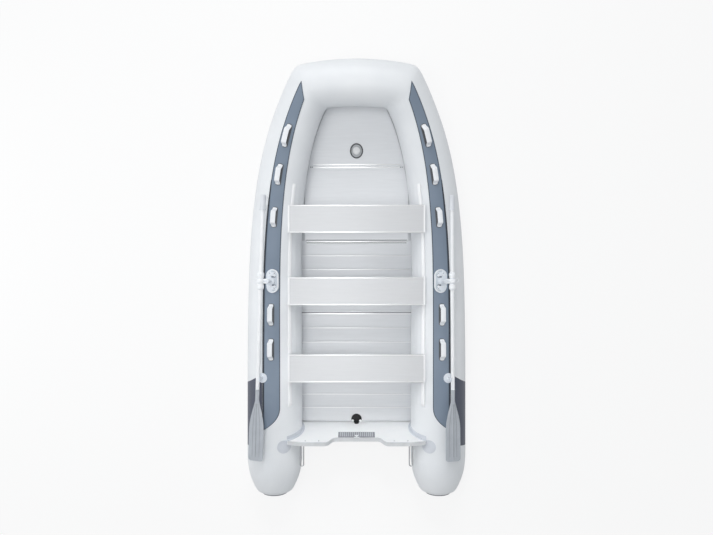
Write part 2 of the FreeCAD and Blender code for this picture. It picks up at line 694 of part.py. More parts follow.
def make_keel_valve():
    """Valve on the keel chamber, seen through the opening of the bow board."""
    tilt_rise = (VALVE_OPENING_Y - BOW_BOARD_AFT_Y) * math.tan(math.radians(BOW_BOARD_SLOPE))
    base_z = floor_bottom_z + tilt_rise
    body = cylinder(Vector(0, VALVE_OPENING_Y, base_z), Vector(0, 0, 1), VALVE_DIAMETER / 2, 10.0)
    tilt = Vector(0, VALVE_OPENING_Y, base_z)
    cap = cylinder(Vector(0, VALVE_OPENING_Y, base_z + 10.0), Vector(0, 0, 1), VALVE_DIAMETER / 2 - 8.0, 7.0)
    grip = box_between((-4.0, VALVE_OPENING_Y - 20.0, base_z + 16.0), (4.0, VALVE_OPENING_Y + 20.0, base_z + 22.0))
    valve = fuse_all([body, cap, grip])
    valve.rotate(tilt, Vector(1, 0, 0), BOW_BOARD_SLOPE)
    save("keel_valve", valve)


# Transom

def rake_shape(shape):
    """Lean an upright shape, drawn from the floor line up, to the transom's rake."""
    shape.rotate(Vector(0, 0, 0), Vector(1, 0, 0), TRANSOM_RAKE)
    shape.translate(Vector(0, TRANSOM_FOOT_Y, FLOOR_TOP_Z))
    return shape


def plate_height(z):
    return (z - FLOOR_TOP_Z) / math.cos(rake)


def transom_board(top_offset, front, back):
    """Board with the lowered middle, from its front to its back face; top_offset lifts the top edge."""
    notch = plate_height(TRANSOM_NOTCH_Z) + top_offset
    shoulder = plate_height(TRANSOM_SHOULDER_Z) + top_offset
    ear = plate_height(TRANSOM_EAR_Z) + top_offset
    bottom = plate_height(TRANSOM_BOTTOM_Z)
    side_bottom = plate_height(stern_radius - stern_radius * math.sin(math.radians(CHINE_ANGLE)) + 10.0)
    level = Vector(1, 0, 0)
    step_run = TRANSOM_SHOULDER_HALF_WIDTH - TRANSOM_NOTCH_HALF_WIDTH
    shoulder_end = (TRANSOM_SHOULDER_HALF_WIDTH + TRANSOM_EAR_HALF_WIDTH) / 2 + 20.0
    edges = []
    for side in (1, -1):
        step = Part.BSplineCurve()
        step.interpolate([Vector(side * TRANSOM_NOTCH_HALF_WIDTH, front, notch),
                          Vector(side * TRANSOM_SHOULDER_HALF_WIDTH, front, shoulder)],
                         InitialTangent=level * (side * step_run), FinalTangent=level * (side * step_run))
        corners = [Vector(side * TRANSOM_SHOULDER_HALF_WIDTH, front, shoulder),
                   Vector(side * shoulder_end, front, shoulder),
                   Vector(side * TRANSOM_EAR_HALF_WIDTH, front, ear),
                   Vector(side * (TRANSOM_EAR_HALF_WIDTH - 10.0), front, side_bottom),
                   Vector(0, front, bottom)]
        edges.append(step.toShape())
        edges.extend(Part.LineSegment(a, b).toShape() for a, b in zip(corners, corners[1:]))
    edges.append(Part.LineSegment(Vector(-TRANSOM_NOTCH_HALF_WIDTH, front, notch),
                                  Vector(TRANSOM_NOTCH_HALF_WIDTH, front, notch)).toShape())
    face = Part.Face(Part.Wire(Part.__sortEdges__(edges)))
    return rake_shape(face.extrude(Vector(0, back - front, 0)))


def transom_slab(ahead_from, ahead_to):
    """Space between two planes parallel to the transom, given by how far they lie ahead of its front face."""
    return transom_plane_block(ahead_to).cut(transom_plane_block(ahead_from))


def aft_tube_skin(low, high):
    start = Vector(tube_x, stern_y, stern_radius)
    length = BEND_START_Y - stern_y
    outer = cylinder(start, Vector(0, 1, 0), stern_radius + high, length)
    return outer.cut(cylinder(start, Vector(0, 1, 0), stern_radius + low, length))


def make_transom():
    board = transom_board(0.0, 0.0, -TRANSOM_THICKNESS)
    start = Vector(tube_x, stern_y, stern_radius)
    room = cylinder(start, Vector(0, 1, 0), stern_radius + HOLDER_WEB + 2 * SEAT_GAP, BEND_START_Y - stern_y)
    board = board.cut(room).cut(mirrored(room))
    save("transom", board)
    cap = transom_board(CAP_THICKNESS, CAP_SIDE, -TRANSOM_THICKNESS - CAP_SIDE)
    cap = cap.cut(transom_board(SEAT_GAP, SEAT_GAP, -TRANSOM_THICKNESS - SEAT_GAP))
    cap = cap.cut(transom_board(-CAP_LIP, CAP_SIDE + 5.0, -TRANSOM_THICKNESS - CAP_SIDE - 5.0))
    cap_reach = TRANSOM_EAR_HALF_WIDTH - 4.0
    cap = cap.common(box_between((-cap_reach, stern_y, floor_bottom_z), (cap_reach, 0, BEAM)))
    cap = cap.cut(room).cut(mirrored(room))
    save("transom_edge_cap", [solid for solid in cap.Solids if solid.BoundBox.XLength > BEAM / 4])
    make_transom_holders()
    make_motor_plates()
    make_drain()


def make_transom_holders():
    """Moulded channels that carry the transom on the tubes, each with a round pad on the tube's crown."""
    low_z = floor_bottom_z + STRINGER_HEIGHT + 6.0
    reach = box_between((0, stern_y, low_z), (TRANSOM_EAR_HALF_WIDTH + 6.0, 0, BEAM))
    front = SEAT_GAP + HOLDER_FLANGE_THICKNESS
    back = -TRANSOM_THICKNESS - SEAT_GAP - HOLDER_FLANGE_THICKNESS
    web = aft_tube_skin(SEAT_GAP, HOLDER_WEB).common(transom_slab(back, front + HOLDER_SOLE)).common(reach)
    tall = aft_tube_skin(SEAT_GAP, HOLDER_FLANGE_HEIGHT).common(reach)
    cap_room = transom_board(CAP_THICKNESS + 2.0, front + 4.0, back - 4.0)
    cap_room = cap_room.cut(transom_board(-12.0, front + 9.0, back - 9.0))
    front_flange = tall.common(transom_slab(SEAT_GAP, front)).cut(cap_room)
    back_flange = tall.common(transom_slab(back, -TRANSOM_THICKNESS - SEAT_GAP)).cut(cap_room)
    pad = cylinder(Vector(HOLDER_PAD_X, HOLDER_PAD_Y, stern_radius), Vector(0, 0, 1), HOLDER_PAD_DIAMETER / 2, BEAM)
    pad = pad.common(aft_tube_skin(SEAT_GAP, HOLDER_WEB))
    holder = fuse_all([web, pad, front_flange, back_flange])
    save_pair("transom_holders", max(holder.Solids, key=lambda solid: solid.Volume))


def make_motor_plates():
    half = MOTOR_PLATE_WIDTH / 2
    top = plate_height(TRANSOM_NOTCH_Z) - CAP_LIP - 1.0
    inner = box_between((-half, SEAT_GAP, top - INNER_PLATE_HEIGHT), (half, SEAT_GAP + MOTOR_PLATE_THICKNESS, top))
    notch_half = PLATE_NOTCH_WIDTH / 2
    notch = box_between((-notch_half, 0, top - PLATE_NOTCH_DEPTH), (notch_half, 20.0, top + 1.0))
    save("motor_plate_inner", rake_shape(inner.cut(notch)))
    outer_face = -TRANSOM_THICKNESS - SEAT_GAP
    outer = box_between((-half, outer_face - MOTOR_PLATE_THICKNESS, top - OUTER_PLATE_HEIGHT),
                        (half, outer_face, top))
    corners = [edge for edge in outer.Edges if edge.BoundBox.YLength > 1.0 and edge.BoundBox.XLength < 1.0]
    save("motor_plate_outer", rake_shape(outer.makeFillet(16.0, corners)))


def make_drain():
    """Black drain plug that stands in the round hole of the aft plank."""
    low_z = floor_bottom_z - SEAT_GAP + 2 * SEAT_GAP
    axis = Vector(0, 0, 1)
    body = cylinder(Vector(0, DRAIN_Y, low_z), axis, DRAIN_DIAMETER / 2, FLOOR_THICKNESS + 3.0)
    well = cylinder(Vector(0, DRAIN_Y, FLOOR_TOP_Z - 6.0), axis, DRAIN_DIAMETER / 2 - 9.0, 30.0)
    knob = cylinder(Vector(0, DRAIN_Y, FLOOR_TOP_Z - 8.0), axis, DRAIN_DIAMETER / 4, 12.0)
    save("drain_plug", fuse_all([body.cut(well), knob]).cut(transom_plane_block(SEAT_GAP)))


def make_stern_eyes():
    half = EYE_WIDTH / 2
    rod = EYE_ROD_DIAMETER / 2
    back = -TRANSOM_THICKNESS - SEAT_GAP
    plate_room = box_between((EYE_X - half, stern_y, EYE_Z - half), (EYE_X + half, 0, EYE_Z + half))
    plate = transom_slab(back - EYE_PLATE, back).common(plate_room)
    face_y = TRANSOM_FOOT_Y - (EYE_Z - FLOOR_TOP_Z) * math.tan(rake) + (back - EYE_PLATE / 2) / math.cos(rake)
    turn_radius = half - rod
    legs = [cylinder(Vector(EYE_X + side * turn_radius, face_y, EYE_Z), Vector(0, -1, 0), rod,
                     EYE_LENGTH - turn_radius) for side in (-1, 1)]
    turn_at = Vector(EYE_X, face_y - EYE_LENGTH + turn_radius, EYE_Z)
    bend = Part.makeTorus(turn_radius, rod, turn_at, Vector(0, 0, 1), 0, 360, 180)
    if bend.BoundBox.YMax > turn_at.y + rod:
        bend.rotate(turn_at, Vector(0, 0, 1), 180)
    save_pair("stern_eyes", fuse_all([plate] + legs + [bend]))


# Benches

def rail_edges(grow=0.0):
    def edges(y):
        half = math.degrees((RAIL_WIDTH / 2 + grow) / tube_radius(y))
        return RAIL_ANGLE - half, RAIL_ANGLE + half
    return edges


def make_bench_rails():
    high = SEAT_GAP + RAIL_HEIGHT
    aft = strip([RAIL_AFT_Y, BEND_START_Y], rail_edges(), SEAT_GAP, high)
    forward = strip(tube_places(BEND_START_Y, RAIL_FRONT_Y), rail_edges(), SEAT_GAP, high)
    save_pair("bench_rails", fuse_all([aft, forward]))


def make_bench(name, middle_y):
    """Bench plank, and at each end a moulded cap with a foot that grips the rail."""
    half = BENCH_WIDTH / 2
    low_z = BENCH_TOP_Z - BENCH_THICKNESS
    plank_end = BENCH_HALF_LENGTH - BENCH_END_CAP
    plank = box_between((-plank_end, middle_y - half, low_z), (plank_end, middle_y + half, BENCH_TOP_Z))
    long_edges = [edge for edge in plank.Edges if edge.BoundBox.XLength > plank_end]
    save("bench_" + name, plank.makeFillet(BENCH_THICKNESS * 0.3, long_edges))
    cap = box_between((plank_end + SEAT_GAP, middle_y - half - 1.0, low_z - 1.0),
                      (BENCH_HALF_LENGTH, middle_y + half + 1.0, BENCH_TOP_Z + 1.0))
    cap_edges = [edge for edge in cap.Edges if edge.BoundBox.XLength > BENCH_END_CAP / 2]
    cap = cap.makeFillet(BENCH_THICKNESS * 0.3, cap_edges)
    foot_low = stern_radius + (stern_radius + RAIL_HEIGHT) * math.sin(math.radians(RAIL_ANGLE)) - 16.0
    foot = box_between((BENCH_FOOT_INNER_X, middle_y - BENCH_FOOT_WIDTH / 2, foot_low),
                       (BENCH_HALF_LENGTH - 1.0, middle_y + BENCH_FOOT_WIDTH / 2, low_z - SEAT_GAP))
    places = [middle_y - half - 10.0, middle_y, middle_y + half + 10.0]
    tube = Part.makeLoft([ring_wire(centre(y), heading(y), tube_radius(y) + SEAT_GAP) for y in places], True, False)
    rail = strip(places, rail_edges(3 * SEAT_GAP), -1.0, 4 * SEAT_GAP + RAIL_HEIGHT)
    end = fuse_all([cap, foot]).cut(tube).cut(rail)
    end = max(end.Solids, key=lambda solid: solid.Volume)
    return [end, mirrored(end)]


# Grab handles

def band_top():
    return BAND_THICKNESS + 2 * SEAT_GAP


def local_tube(y, reach, extra):
    places = [y - reach, y - reach / 2, y, y + reach / 2, y + reach]
    return Part.makeLoft([ring_wire(centre(p), heading(p), tube_radius(p) + extra) for p in places], True, False)


def stadium(length, width, low_z, height):
    """Upright block with round ends, its length along Y."""
    half_run = length / 2 - width / 2
    half = width / 2
    edges = [Part.LineSegment(Vector(half, -half_run, low_z), Vector(half, half_run, low_z)),
             Part.Arc(Vector(half, half_run, low_z), Vector(0, length / 2, low_z), Vector(-half, half_run, low_z)),
             Part.LineSegment(Vector(-half, half_run, low_z), Vector(-half, -half_run, low_z)),
             Part.Arc(Vector(-half, -half_run, low_z), Vector(0, -length / 2, low_z), Vector(half, -half_run, low_z))]
    return Part.Face(Part.Wire([edge.toShape() for edge in edges])).extrude(Vector(0, 0, height))


def arch_profile(half_foot, half_top, foot_z, top_z, x):
    """Side outline points of an arch that stands between two feet."""
    return [Vector(x, -half_foot, foot_z), Vector(x, -half_top, top_z), Vector(x, half_top, top_z),
            Vector(x, half_foot, foot_z)]


def make_handle(y):
    """Base pad, arched grip and its centre ridge, seated on the crown band at y."""
    base_top = HANDLE_BASE_THICKNESS
    half_span = HANDLE_SPAN / 2
    grip = HANDLE_GRIP_THICKNESS
    x = -HANDLE_GRIP_WIDTH / 2
    outer = polygon_face(arch_profile(half_span + grip * 2.2, half_span - 6.0, base_top - 1.0, HANDLE_RISE, x))
    inner = polygon_face(arch_profile(half_span, half_span - 14.0, base_top, HANDLE_RISE - grip, x - 1.0))
    arch = outer.extrude(Vector(HANDLE_GRIP_WIDTH, 0, 0)).cut(inner.extrude(Vector(HANDLE_GRIP_WIDTH + 2.0, 0, 0)))
    shoulders = [edge for edge in arch.Edges
                 if edge.BoundBox.XLength > HANDLE_GRIP_WIDTH / 2 and edge.BoundBox.ZMin > HANDLE_RISE - 1.0]
    arch = arch.makeFillet(7.0, shoulders)
    ridge = stadium(HANDLE_SPAN - 14.0, 9.0, HANDLE_RISE - 1.0, 4.0)
    saddle_depth = 14.0
    base = stadium(HANDLE_LENGTH, HANDLE_BASE_WIDTH, -saddle_depth, saddle_depth + base_top)
    handle = fuse_all([base, arch, ridge])
    angle = sum(band_edges(y)) / 2
    seat = on_tube(y, angle, band_top())
    normal = (seat - centre(y)).normalize()
    along = heading(y)
    turn = FreeCAD.Rotation(along.cross(normal).normalize(), along, normal, "ZXY")
    handle.Placement = FreeCAD.Placement(seat, turn)
    return handle.cut(local_tube(y, HANDLE_LENGTH * 0.7, band_top()))


def make_handles():
    both_sides("grab_handles", [make_handle(y) for y in HANDLE_PLACES_Y])


# Oars, drawn round the post's foot with X outboard, Y forward and Z up the post

def oarlock_placement(yaw):
    seat = on_tube(OARLOCK_Y, sum(band_edges(OARLOCK_Y)) / 2, band_top())
    lean = FreeCAD.Rotation(Vector(0, 1, 0), POST_LEAN)
    return FreeCAD.Placement(seat, lean.multiply(FreeCAD.Rotation(Vector(0, 0, 1), yaw)))


def set_on_post(shape, yaw, side):
    shape.Placement = oarlock_placement(yaw).multiply(shape.Placement)
    return mirrored(shape) if side < 0 else shape


def make_oarlock_base():
    high = band_top() + OARLOCK_PAD_THICKNESS
    seat = on_tube(OARLOCK_Y, sum(band_edges(OARLOCK_Y)) / 2, band_top())
    outline = stadium(OARLOCK_PAD_LENGTH, OARLOCK_PAD_WIDTH, stern_radius, BEAM)
    outline.translate(Vector(seat.x, OARLOCK_Y, 0))
    pad = outline.common(local_tube(OARLOCK_Y, OARLOCK_PAD_LENGTH * 0.6, high))
    lug_height = 12.0
    lugs = [cylinder(Vector(seat.x, OARLOCK_Y + side * OARLOCK_PAD_LENGTH * 0.31, stern_radius), Vector(0, 0, 1),
                     14.0, stern_radius + high + lug_height) for side in (-1, 1)]
    boss = cylinder(Vector(0, 0, -24.0), Vector(0, 0, 1), OARLOCK_BOSS_DIAMETER / 2, 24.0 + OARLOCK_BOSS_HEIGHT)
    boss.Placement = oarlock_placement(0.0).multiply(boss.Placement)
    lug_top = seat.z + OARLOCK_PAD_THICKNESS + lug_height
    lugs = [lug.common(box_between((0, -BEAM, 0), (BEAM, BEAM, lug_top))) for lug in lugs]
    base = fuse_all([pad, boss] + lugs).cut(local_tube(OARLOCK_Y, OARLOCK_PAD_LENGTH * 0.6, band_top()))
    socket = cylinder(Vector(0, 0, -30.0), Vector(0, 0, 1), POST_DIAMETER / 2 + POST_FIT, 90.0)
    socket.Placement = oarlock_placement(0.0).multiply(socket.Placement)
    save_pair("oarlock_bases", base.cut(socket))


def make_swivel():
    """Post, flange, head and the side pin that carries the collar."""
    up = Vector(0, 0, 1)
    out = Vector(1, 0, 0)
    foot = OARLOCK_BOSS_HEIGHT + SEAT_GAP
    post = cylinder(Vector(0, 0, 2.0), up, POST_DIAMETER / 2, PIVOT_HEIGHT - 2.0)
    flange = cylinder(Vector(0, 0, foot), up, POST_DIAMETER, 7.0)
    head = cylinder(Vector(0, 0, PIVOT_HEIGHT - ARM_WIDTH / 2), up, ARM_WIDTH / 2, ARM_WIDTH)
    pin_end = PIVOT_REACH - OAR_SHAFT_DIAMETER / 2 - SLEEVE_FIT - SLEEVE_WALL - 2.0
    pin = cylinder(Vector(0, 0, PIVOT_HEIGHT), out, DIP_PIN_DIAMETER / 2, pin_end)
    return fuse_all([post, flange, head, pin])


def make_collar():
    """Sleeve round the oar's shaft, with a lug that turns on the swivel's side pin."""
    out = Vector(1, 0, 0)
    bore = OAR_SHAFT_DIAMETER / 2 + SLEEVE_FIT
    middle = Vector(PIVOT_REACH, 0, PIVOT_HEIGHT)
    sleeve = cylinder(middle - Vector(0, SLEEVE_LENGTH / 2, 0), Vector(0, 1, 0), bore + SLEEVE_WALL, SLEEVE_LENGTH)
    lug_start = ARM_WIDTH / 2 + FORK_GAP
    lug = cylinder(Vector(lug_start, 0, PIVOT_HEIGHT), out, DIP_PIN_DIAMETER, PIVOT_REACH - lug_start)
    collar = fuse_all([sleeve, lug])
    collar = collar.cut(cylinder(middle - Vector(0, SLEEVE_LENGTH, 0), Vector(0, 1, 0), bore, SLEEVE_LENGTH * 2))
    pin_room = PIVOT_REACH - bore - SLEEVE_WALL - 1.0
    return collar.cut(cylinder(Vector(0, 0, PIVOT_HEIGHT), out, DIP_PIN_DIAMETER / 2 + DIP_PIN_FIT, pin_room))


def oar_cylinder(first_y, last_y, radius):
    return cylinder(Vector(PIVOT_REACH, first_y, PIVOT_HEIGHT), Vector(0, 1, 0), radius, last_y - first_y)


def make_oar_pieces():
    shaft_radius = OAR_SHAFT_DIAMETER / 2
    grip_start = OAR_REACH_FORWARD - OAR_GRIP_LENGTH
    blade_start = BLADE_LENGTH - OAR_REACH_AFT
    shaft = oar_cylinder(blade_start, grip_start, shaft_radius)
    grip = oar_cylinder(grip_start, OAR_REACH_FORWARD, OAR_GRIP_DIAMETER / 2)
    grip = grip.makeFillet(9.0, [grip.Edges[0], grip.Edges[2]][:1])
    flange = oar_cylinder(grip_start, grip_start + 9.0, OAR_GRIP_DIAMETER / 2 + 5.0)
    rings = []
    for side in (-1, 1):
        first = side * (SLEEVE_LENGTH / 2 + STOP_RING_GAP)
        ends = sorted([first, first + side * STOP_RING_LENGTH])
        ring = oar_cylinder(ends[0], ends[1], STOP_RING_DIAMETER / 2)
        ring = ring.makeFillet(4.0, [edge for edge in ring.Edges if len(edge.Vertexes) == 1])
        rings.append(ring.cut(oar_cylinder(-BLADE_LENGTH, BLADE_LENGTH, shaft_radius + SEAT_GAP)))
    return shaft, fuse_all([grip, flange]), rings, make_blade(blade_start)


def make_blade(root_y):
    """Flat blade with a flared outline, thicker along its middle rib."""
    half = BLADE_WIDTH / 2
    neck = BLADE_NECK_DIAMETER / 2 - 3.0
    flare_y = root_y - BLADE_NECK_LENGTH
    wide_y = flare_y - BLADE_FLARE_LENGTH
    tip_y = -OAR_REACH_AFT
    low = PIVOT_HEIGHT - BLADE_THICKNESS / 2
    run = Vector(0, -BLADE_FLARE_LENGTH, 0)
    edges = []
    for side in (1, -1):
        flare = Part.BSplineCurve()
        flare.interpolate([Vector(side * neck, flare_y, low), Vector(side * half, wide_y, low)],
                          InitialTangent=run, FinalTangent=run)
        corner_turn = BLADE_CORNER * (1.0 - math.sqrt(0.5))
        edges += [Part.LineSegment(Vector(side * neck, root_y - 10.0, low), Vector(side * neck, flare_y, low)),
                  flare,
                  Part.LineSegment(Vector(side * half, wide_y, low), Vector(side * half, tip_y + BLADE_CORNER, low)),
                  Part.Arc(Vector(side * half, tip_y + BLADE_CORNER, low),
                           Vector(side * (half - corner_turn), tip_y + corner_turn, low),
                           Vector(side * (half - BLADE_CORNER), tip_y, low))]
    edges += [Part.LineSegment(Vector(-neck, root_y - 10.0, low), Vector(neck, root_y - 10.0, low)),
              Part.LineSegment(Vector(half - BLADE_CORNER, tip_y, low), Vector(BLADE_CORNER - half, tip_y, low))]
    wire = Part.Wire(Part.__sortEdges__([edge.toShape() for edge in edges]))
    plate = Part.Face(wire).extrude(Vector(0, 0, BLADE_THICKNESS))
    plate.translate(Vector(PIVOT_REACH, 0, 0))
    root = Vector(PIVOT_REACH, root_y, PIVOT_HEIGHT)
    rib_length = BLADE_LENGTH * 0.86
    rib = Part.makeCone(BLADE_NECK_DIAMETER / 2, BLADE_THICKNESS / 2 + 0.5, rib_length, root, Vector(0, -1, 0))
    return fuse_all([plate, rib])


def make_clip():
    """Rest for the stowed shaft, open above and outboard, with a round pad on the tube."""
    shaft_radius = OAR_SHAFT_DIAMETER / 2
    near = PIVOT_REACH - shaft_radius - CLIP_GAP
    floor = PIVOT_HEIGHT - shaft_radius - CLIP_GAP
    far = PIVOT_REACH + shaft_radius * 0.6
    along = CLIP_Y - OARLOCK_Y
    first_y = along - CLIP_LENGTH / 2
    last_y = along + CLIP_LENGTH / 2
    wall = box_between((near - CLIP_WALL, first_y, floor - CLIP_WALL), (near, last_y, PIVOT_HEIGHT + shaft_radius))
    tray = box_between((near - CLIP_WALL, first_y, floor - CLIP_WALL), (far, last_y, floor))
    stem_half = CLIP_LENGTH * 0.4
    stem_x = (near + far) / 2
    stem = box_between((stem_x - stem_half, along - stem_half, -60.0), (stem_x + stem_half, along + stem_half, floor - 1))
    return fuse_all([wall, tray, stem])


def make_clip_on_tube(yaw):
    clip = make_clip()
    clip.Placement = oarlock_placement(yaw).multiply(clip.Placement)
    skin = band_top()
    start = Vector(tube_x, stern_y, stern_radius)
    tube = cylinder(start, Vector(0, 1, 0), stern_radius + skin, BEND_START_Y - stern_y)
    foot = clip.common(box_between((0, CLIP_Y - CLIP_LENGTH, 0), (BEAM, CLIP_Y + CLIP_LENGTH, BEAM)))
    pad_x = (foot.BoundBox.XMin + foot.BoundBox.XMax) / 2
    pad = cylinder(Vector(pad_x, CLIP_Y, stern_radius), Vector(0, 0, 1), CLIP_PAD_DIAMETER / 2, BEAM)
    pad = pad.common(cylinder(start, Vector(0, 1, 0), stern_radius + skin + PATCH_THICKNESS,
                              BEND_START_Y - stern_y))
    return fuse_all([clip, pad]).cut(tube)


def make_oars():
    make_oarlock_base()
    clips = []
    for name, side in SIDES.items():
        yaw = OAR_YAW_PORT if side < 0 else OAR_YAW_STARBOARD
        shaft, grip, rings, blade = make_oar_pieces()
        save("oarlock_swivel_" + name, set_on_post(make_swivel(), yaw, side))
        save("oarlock_collar_" + name, set_on_post(make_collar(), yaw, side))
        save("oar_shaft_" + name, [set_on_post(piece, yaw, side) for piece in [shaft] + rings])
        save("oar_grip_" + name, set_on_post(grip, yaw, side))
        save("oar_blade_" + name, set_on_post(blade, yaw, side))
        clip = make_clip_on_tube(yaw)
        clips.append(mirrored(clip) if side < 0 else clip)
    save("oar_clips", clips)


# Tow ring and tube valves

def make_tow_ring():
    """Ring on a patch low on the front of the bow tube."""
    patch_angle = math.radians(-34.0)
    ahead = Vector(0, math.cos(patch_angle), math.sin(patch_angle))
    middle = bow_centre(0.0)
    reach = cylinder(middle, ahead, TOW_PATCH_WIDTH / 2, bow_radius * 2)
    patch = make_bow_tube(SEAT_GAP + PATCH_THICKNESS).common(reach)
    down = Vector(0, ahead.z, -ahead.y)
    face = bow_radius + SEAT_GAP + PATCH_THICKNESS
    rod = TOW_RING_ROD / 2
    ring_radius = TOW_RING_DIAMETER / 2
    ring_middle = middle + ahead * (face + rod + 4.0) + down * (ring_radius - 6.0)
    ring = Part.makeTorus(ring_radius, rod, ring_middle, ahead)
    ring_room = Part.makeTorus(ring_radius, rod + SEAT_GAP, ring_middle, ahead)
    saddle = Part.makeBox(34.0, 22.0, face - bow_radius + 14.0)
    saddle.translate(Vector(-17.0, -11.0, bow_radius - 2.0))
    saddle.Placement = FreeCAD.Placement(middle, FreeCAD.Rotation(Vector(1, 0, 0), ahead.cross(Vector(1, 0, 0)),
                                                                  ahead, "ZXY")).multiply(saddle.Placement)
    base = fuse_all([patch, saddle]).cut(make_bow_tube(SEAT_GAP)).cut(ring_room)
    save("tow_ring_patch", max(base.Solids, key=lambda solid: solid.Volume))
    save("tow_ring", ring)


def make_tube_valves():
    turn = math.radians(TUBE_VALVE_ANGLE)
    outward = Vector(math.cos(turn), 0, math.sin(turn))
    axis = Vector(tube_x, TUBE_VALVE_Y, stern_radius)
    room = cylinder(Vector(tube_x, stern_y, stern_radius), Vector(0, 1, 0), stern_radius + SEAT_GAP,
                    BEND_START_Y - stern_y)
    body = cylinder(axis, outward, TUBE_VALVE_DIAMETER / 2, stern_radius + TUBE_VALVE_HEIGHT)
    cap = cylinder(axis, outward, TUBE_VALVE_DIAMETER / 2 - 9.0, stern_radius + TUBE_VALVE_HEIGHT + 6.0)
    save_pair("tube_valves", fuse_all([body, cap]).cut(room))


def build():
    make_side_tubes()
    save("tube_bow", make_bow_tube())
    make_cones()
    make_bands()
    make_rub_strakes()
    make_bow_strake()
    make_side_patches()
    make_bottom()
    make_floor()
    make_stringers()
    make_keel_valve()
    make_transom()
    make_stern_eyes()
    make_bench_rails()
    bench_ends = []
    for name, middle_y in BENCHES_Y.items():
        bench_ends += make_bench(name, middle_y)
    save("bench_ends", bench_ends)
    make_handles()
    make_oars()
    make_tow_ring()
    make_tube_valves()


build()
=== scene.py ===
import math

import bmesh
import bpy
from mathutils import Matrix, Vector
from mathutils.bvhtree import BVHTree


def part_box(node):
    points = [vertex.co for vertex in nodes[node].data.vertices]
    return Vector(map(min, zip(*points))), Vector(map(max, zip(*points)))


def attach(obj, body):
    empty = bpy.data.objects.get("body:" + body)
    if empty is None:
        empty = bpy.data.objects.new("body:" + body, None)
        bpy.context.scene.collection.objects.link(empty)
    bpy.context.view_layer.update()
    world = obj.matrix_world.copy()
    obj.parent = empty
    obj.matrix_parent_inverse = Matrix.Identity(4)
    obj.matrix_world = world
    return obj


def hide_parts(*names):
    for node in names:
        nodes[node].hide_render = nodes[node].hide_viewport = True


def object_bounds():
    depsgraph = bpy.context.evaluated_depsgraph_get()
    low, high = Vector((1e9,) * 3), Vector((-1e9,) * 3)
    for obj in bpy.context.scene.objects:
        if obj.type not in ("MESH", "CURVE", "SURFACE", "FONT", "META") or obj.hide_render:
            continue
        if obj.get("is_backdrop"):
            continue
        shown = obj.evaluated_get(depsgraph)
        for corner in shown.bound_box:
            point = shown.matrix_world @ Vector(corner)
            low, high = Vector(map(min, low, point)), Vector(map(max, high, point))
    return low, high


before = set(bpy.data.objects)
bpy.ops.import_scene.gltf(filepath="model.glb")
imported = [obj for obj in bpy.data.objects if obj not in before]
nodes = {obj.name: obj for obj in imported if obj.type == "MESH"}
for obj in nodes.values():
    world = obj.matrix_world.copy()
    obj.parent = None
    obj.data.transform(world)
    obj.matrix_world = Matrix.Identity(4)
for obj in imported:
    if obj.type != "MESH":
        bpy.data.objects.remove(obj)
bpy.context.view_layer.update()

# Sizes of the boat, in metres and degrees, as its drawing has them, but for the slimmer cones

TUBE_X = 0.6712
STERN_RADIUS = 0.2225
BOW_RADIUS = 0.18
BEND_START_Y = -0.7
BEND_POWER = 4.35
CORNER_X = 0.36
BOW_MIDDLE_Y = 1.5737
CORNER_SETBACK = 0.027
CORNER_Y = BOW_MIDDLE_Y - CORNER_SETBACK
SHEER_START_Y = 0.45
CORNER_RISE = 0.245
MIDDLE_RISE = 0.025
TAPER_POWER = 1.5
TAPER_END_Y = CORNER_Y - 0.2
CONE_CAP = 0.016
CONE_FRONT_Y = -1.444
CONE_END_Y = -1.714
CONE_END_RADIUS = 0.135
CONE_CAP_SEAT = 0.109
CONE_ROUNDING = 0.018
SEAT = 0.0003
BAND_THICKNESS = 0.0022


# Camera: straight above the boat, bow up

camera_data = bpy.data.cameras.new("overhead_camera")
camera = bpy.data.objects.new("overhead_camera", camera_data)
bpy.context.collection.objects.link(camera)
bpy.context.scene.camera = camera
camera.location = (0.0, 0.124, 5.5)
camera_data.sensor_width = 36.0
camera_data.lens = 32.26
camera_data.clip_end = 60.0


# Working helpers

def deselect():
    if bpy.context.object and bpy.context.object.mode != "OBJECT":
        bpy.ops.object.mode_set(mode="OBJECT")
    bpy.ops.object.select_all(action="DESELECT")


def pick(*pieces):
    deselect()
    for piece in pieces:
        piece.select_set(True)
    bpy.context.view_layer.objects.active = pieces[0]


def named(name):
    """Name the piece just added, and its mesh."""
    piece = bpy.context.object
    piece.name = name
    piece.data.name = name
    return piece


def settle(piece):
    """Put a finished piece's place into its mesh."""
    pick(piece)
    bpy.ops.object.transform_apply(location=True, rotation=True, scale=True)
    return piece


def reshaped(piece, operator, **settings):
    """Use one edit mode operator on the whole of a piece."""
    pick(piece)
    bpy.ops.object.mode_set(mode="EDIT")
    bpy.ops.mesh.select_all(action="SELECT")
    operator(**settings)
    bpy.ops.object.mode_set(mode="OBJECT")
    return piece


def modified(piece, kind, **settings):
    """Add one modifier, set it and apply it."""
    modifier = piece.modifiers.new(kind.lower(), kind)
    for key, value in settings.items():
        setattr(modifier, key, value)
    pick(piece)
    bpy.ops.object.modifier_apply(modifier=modifier.name)
    return piece


def smooth(piece, angle=35.0):
    pick(piece)
    bpy.ops.object.shade_smooth_by_angle(angle=math.radians(angle))
    return piece


def bevelled(piece, width, angle=30.0):
    return modified(piece, "BEVEL", width=width, segments=2, limit_method="ANGLE",
                    angle_limit=math.radians(angle))


def mirrored_over(piece):
    """Complete a starboard half with its port half."""
    return modified(piece, "MIRROR", merge_threshold=0.0005)


def turned_over(piece):
    """Mirror a mesh across the boat's middle, with its faces still outwards."""
    piece.data.transform(Matrix.Scale(-1.0, 4, Vector((1, 0, 0))))
    piece.data.flip_normals()
    return piece


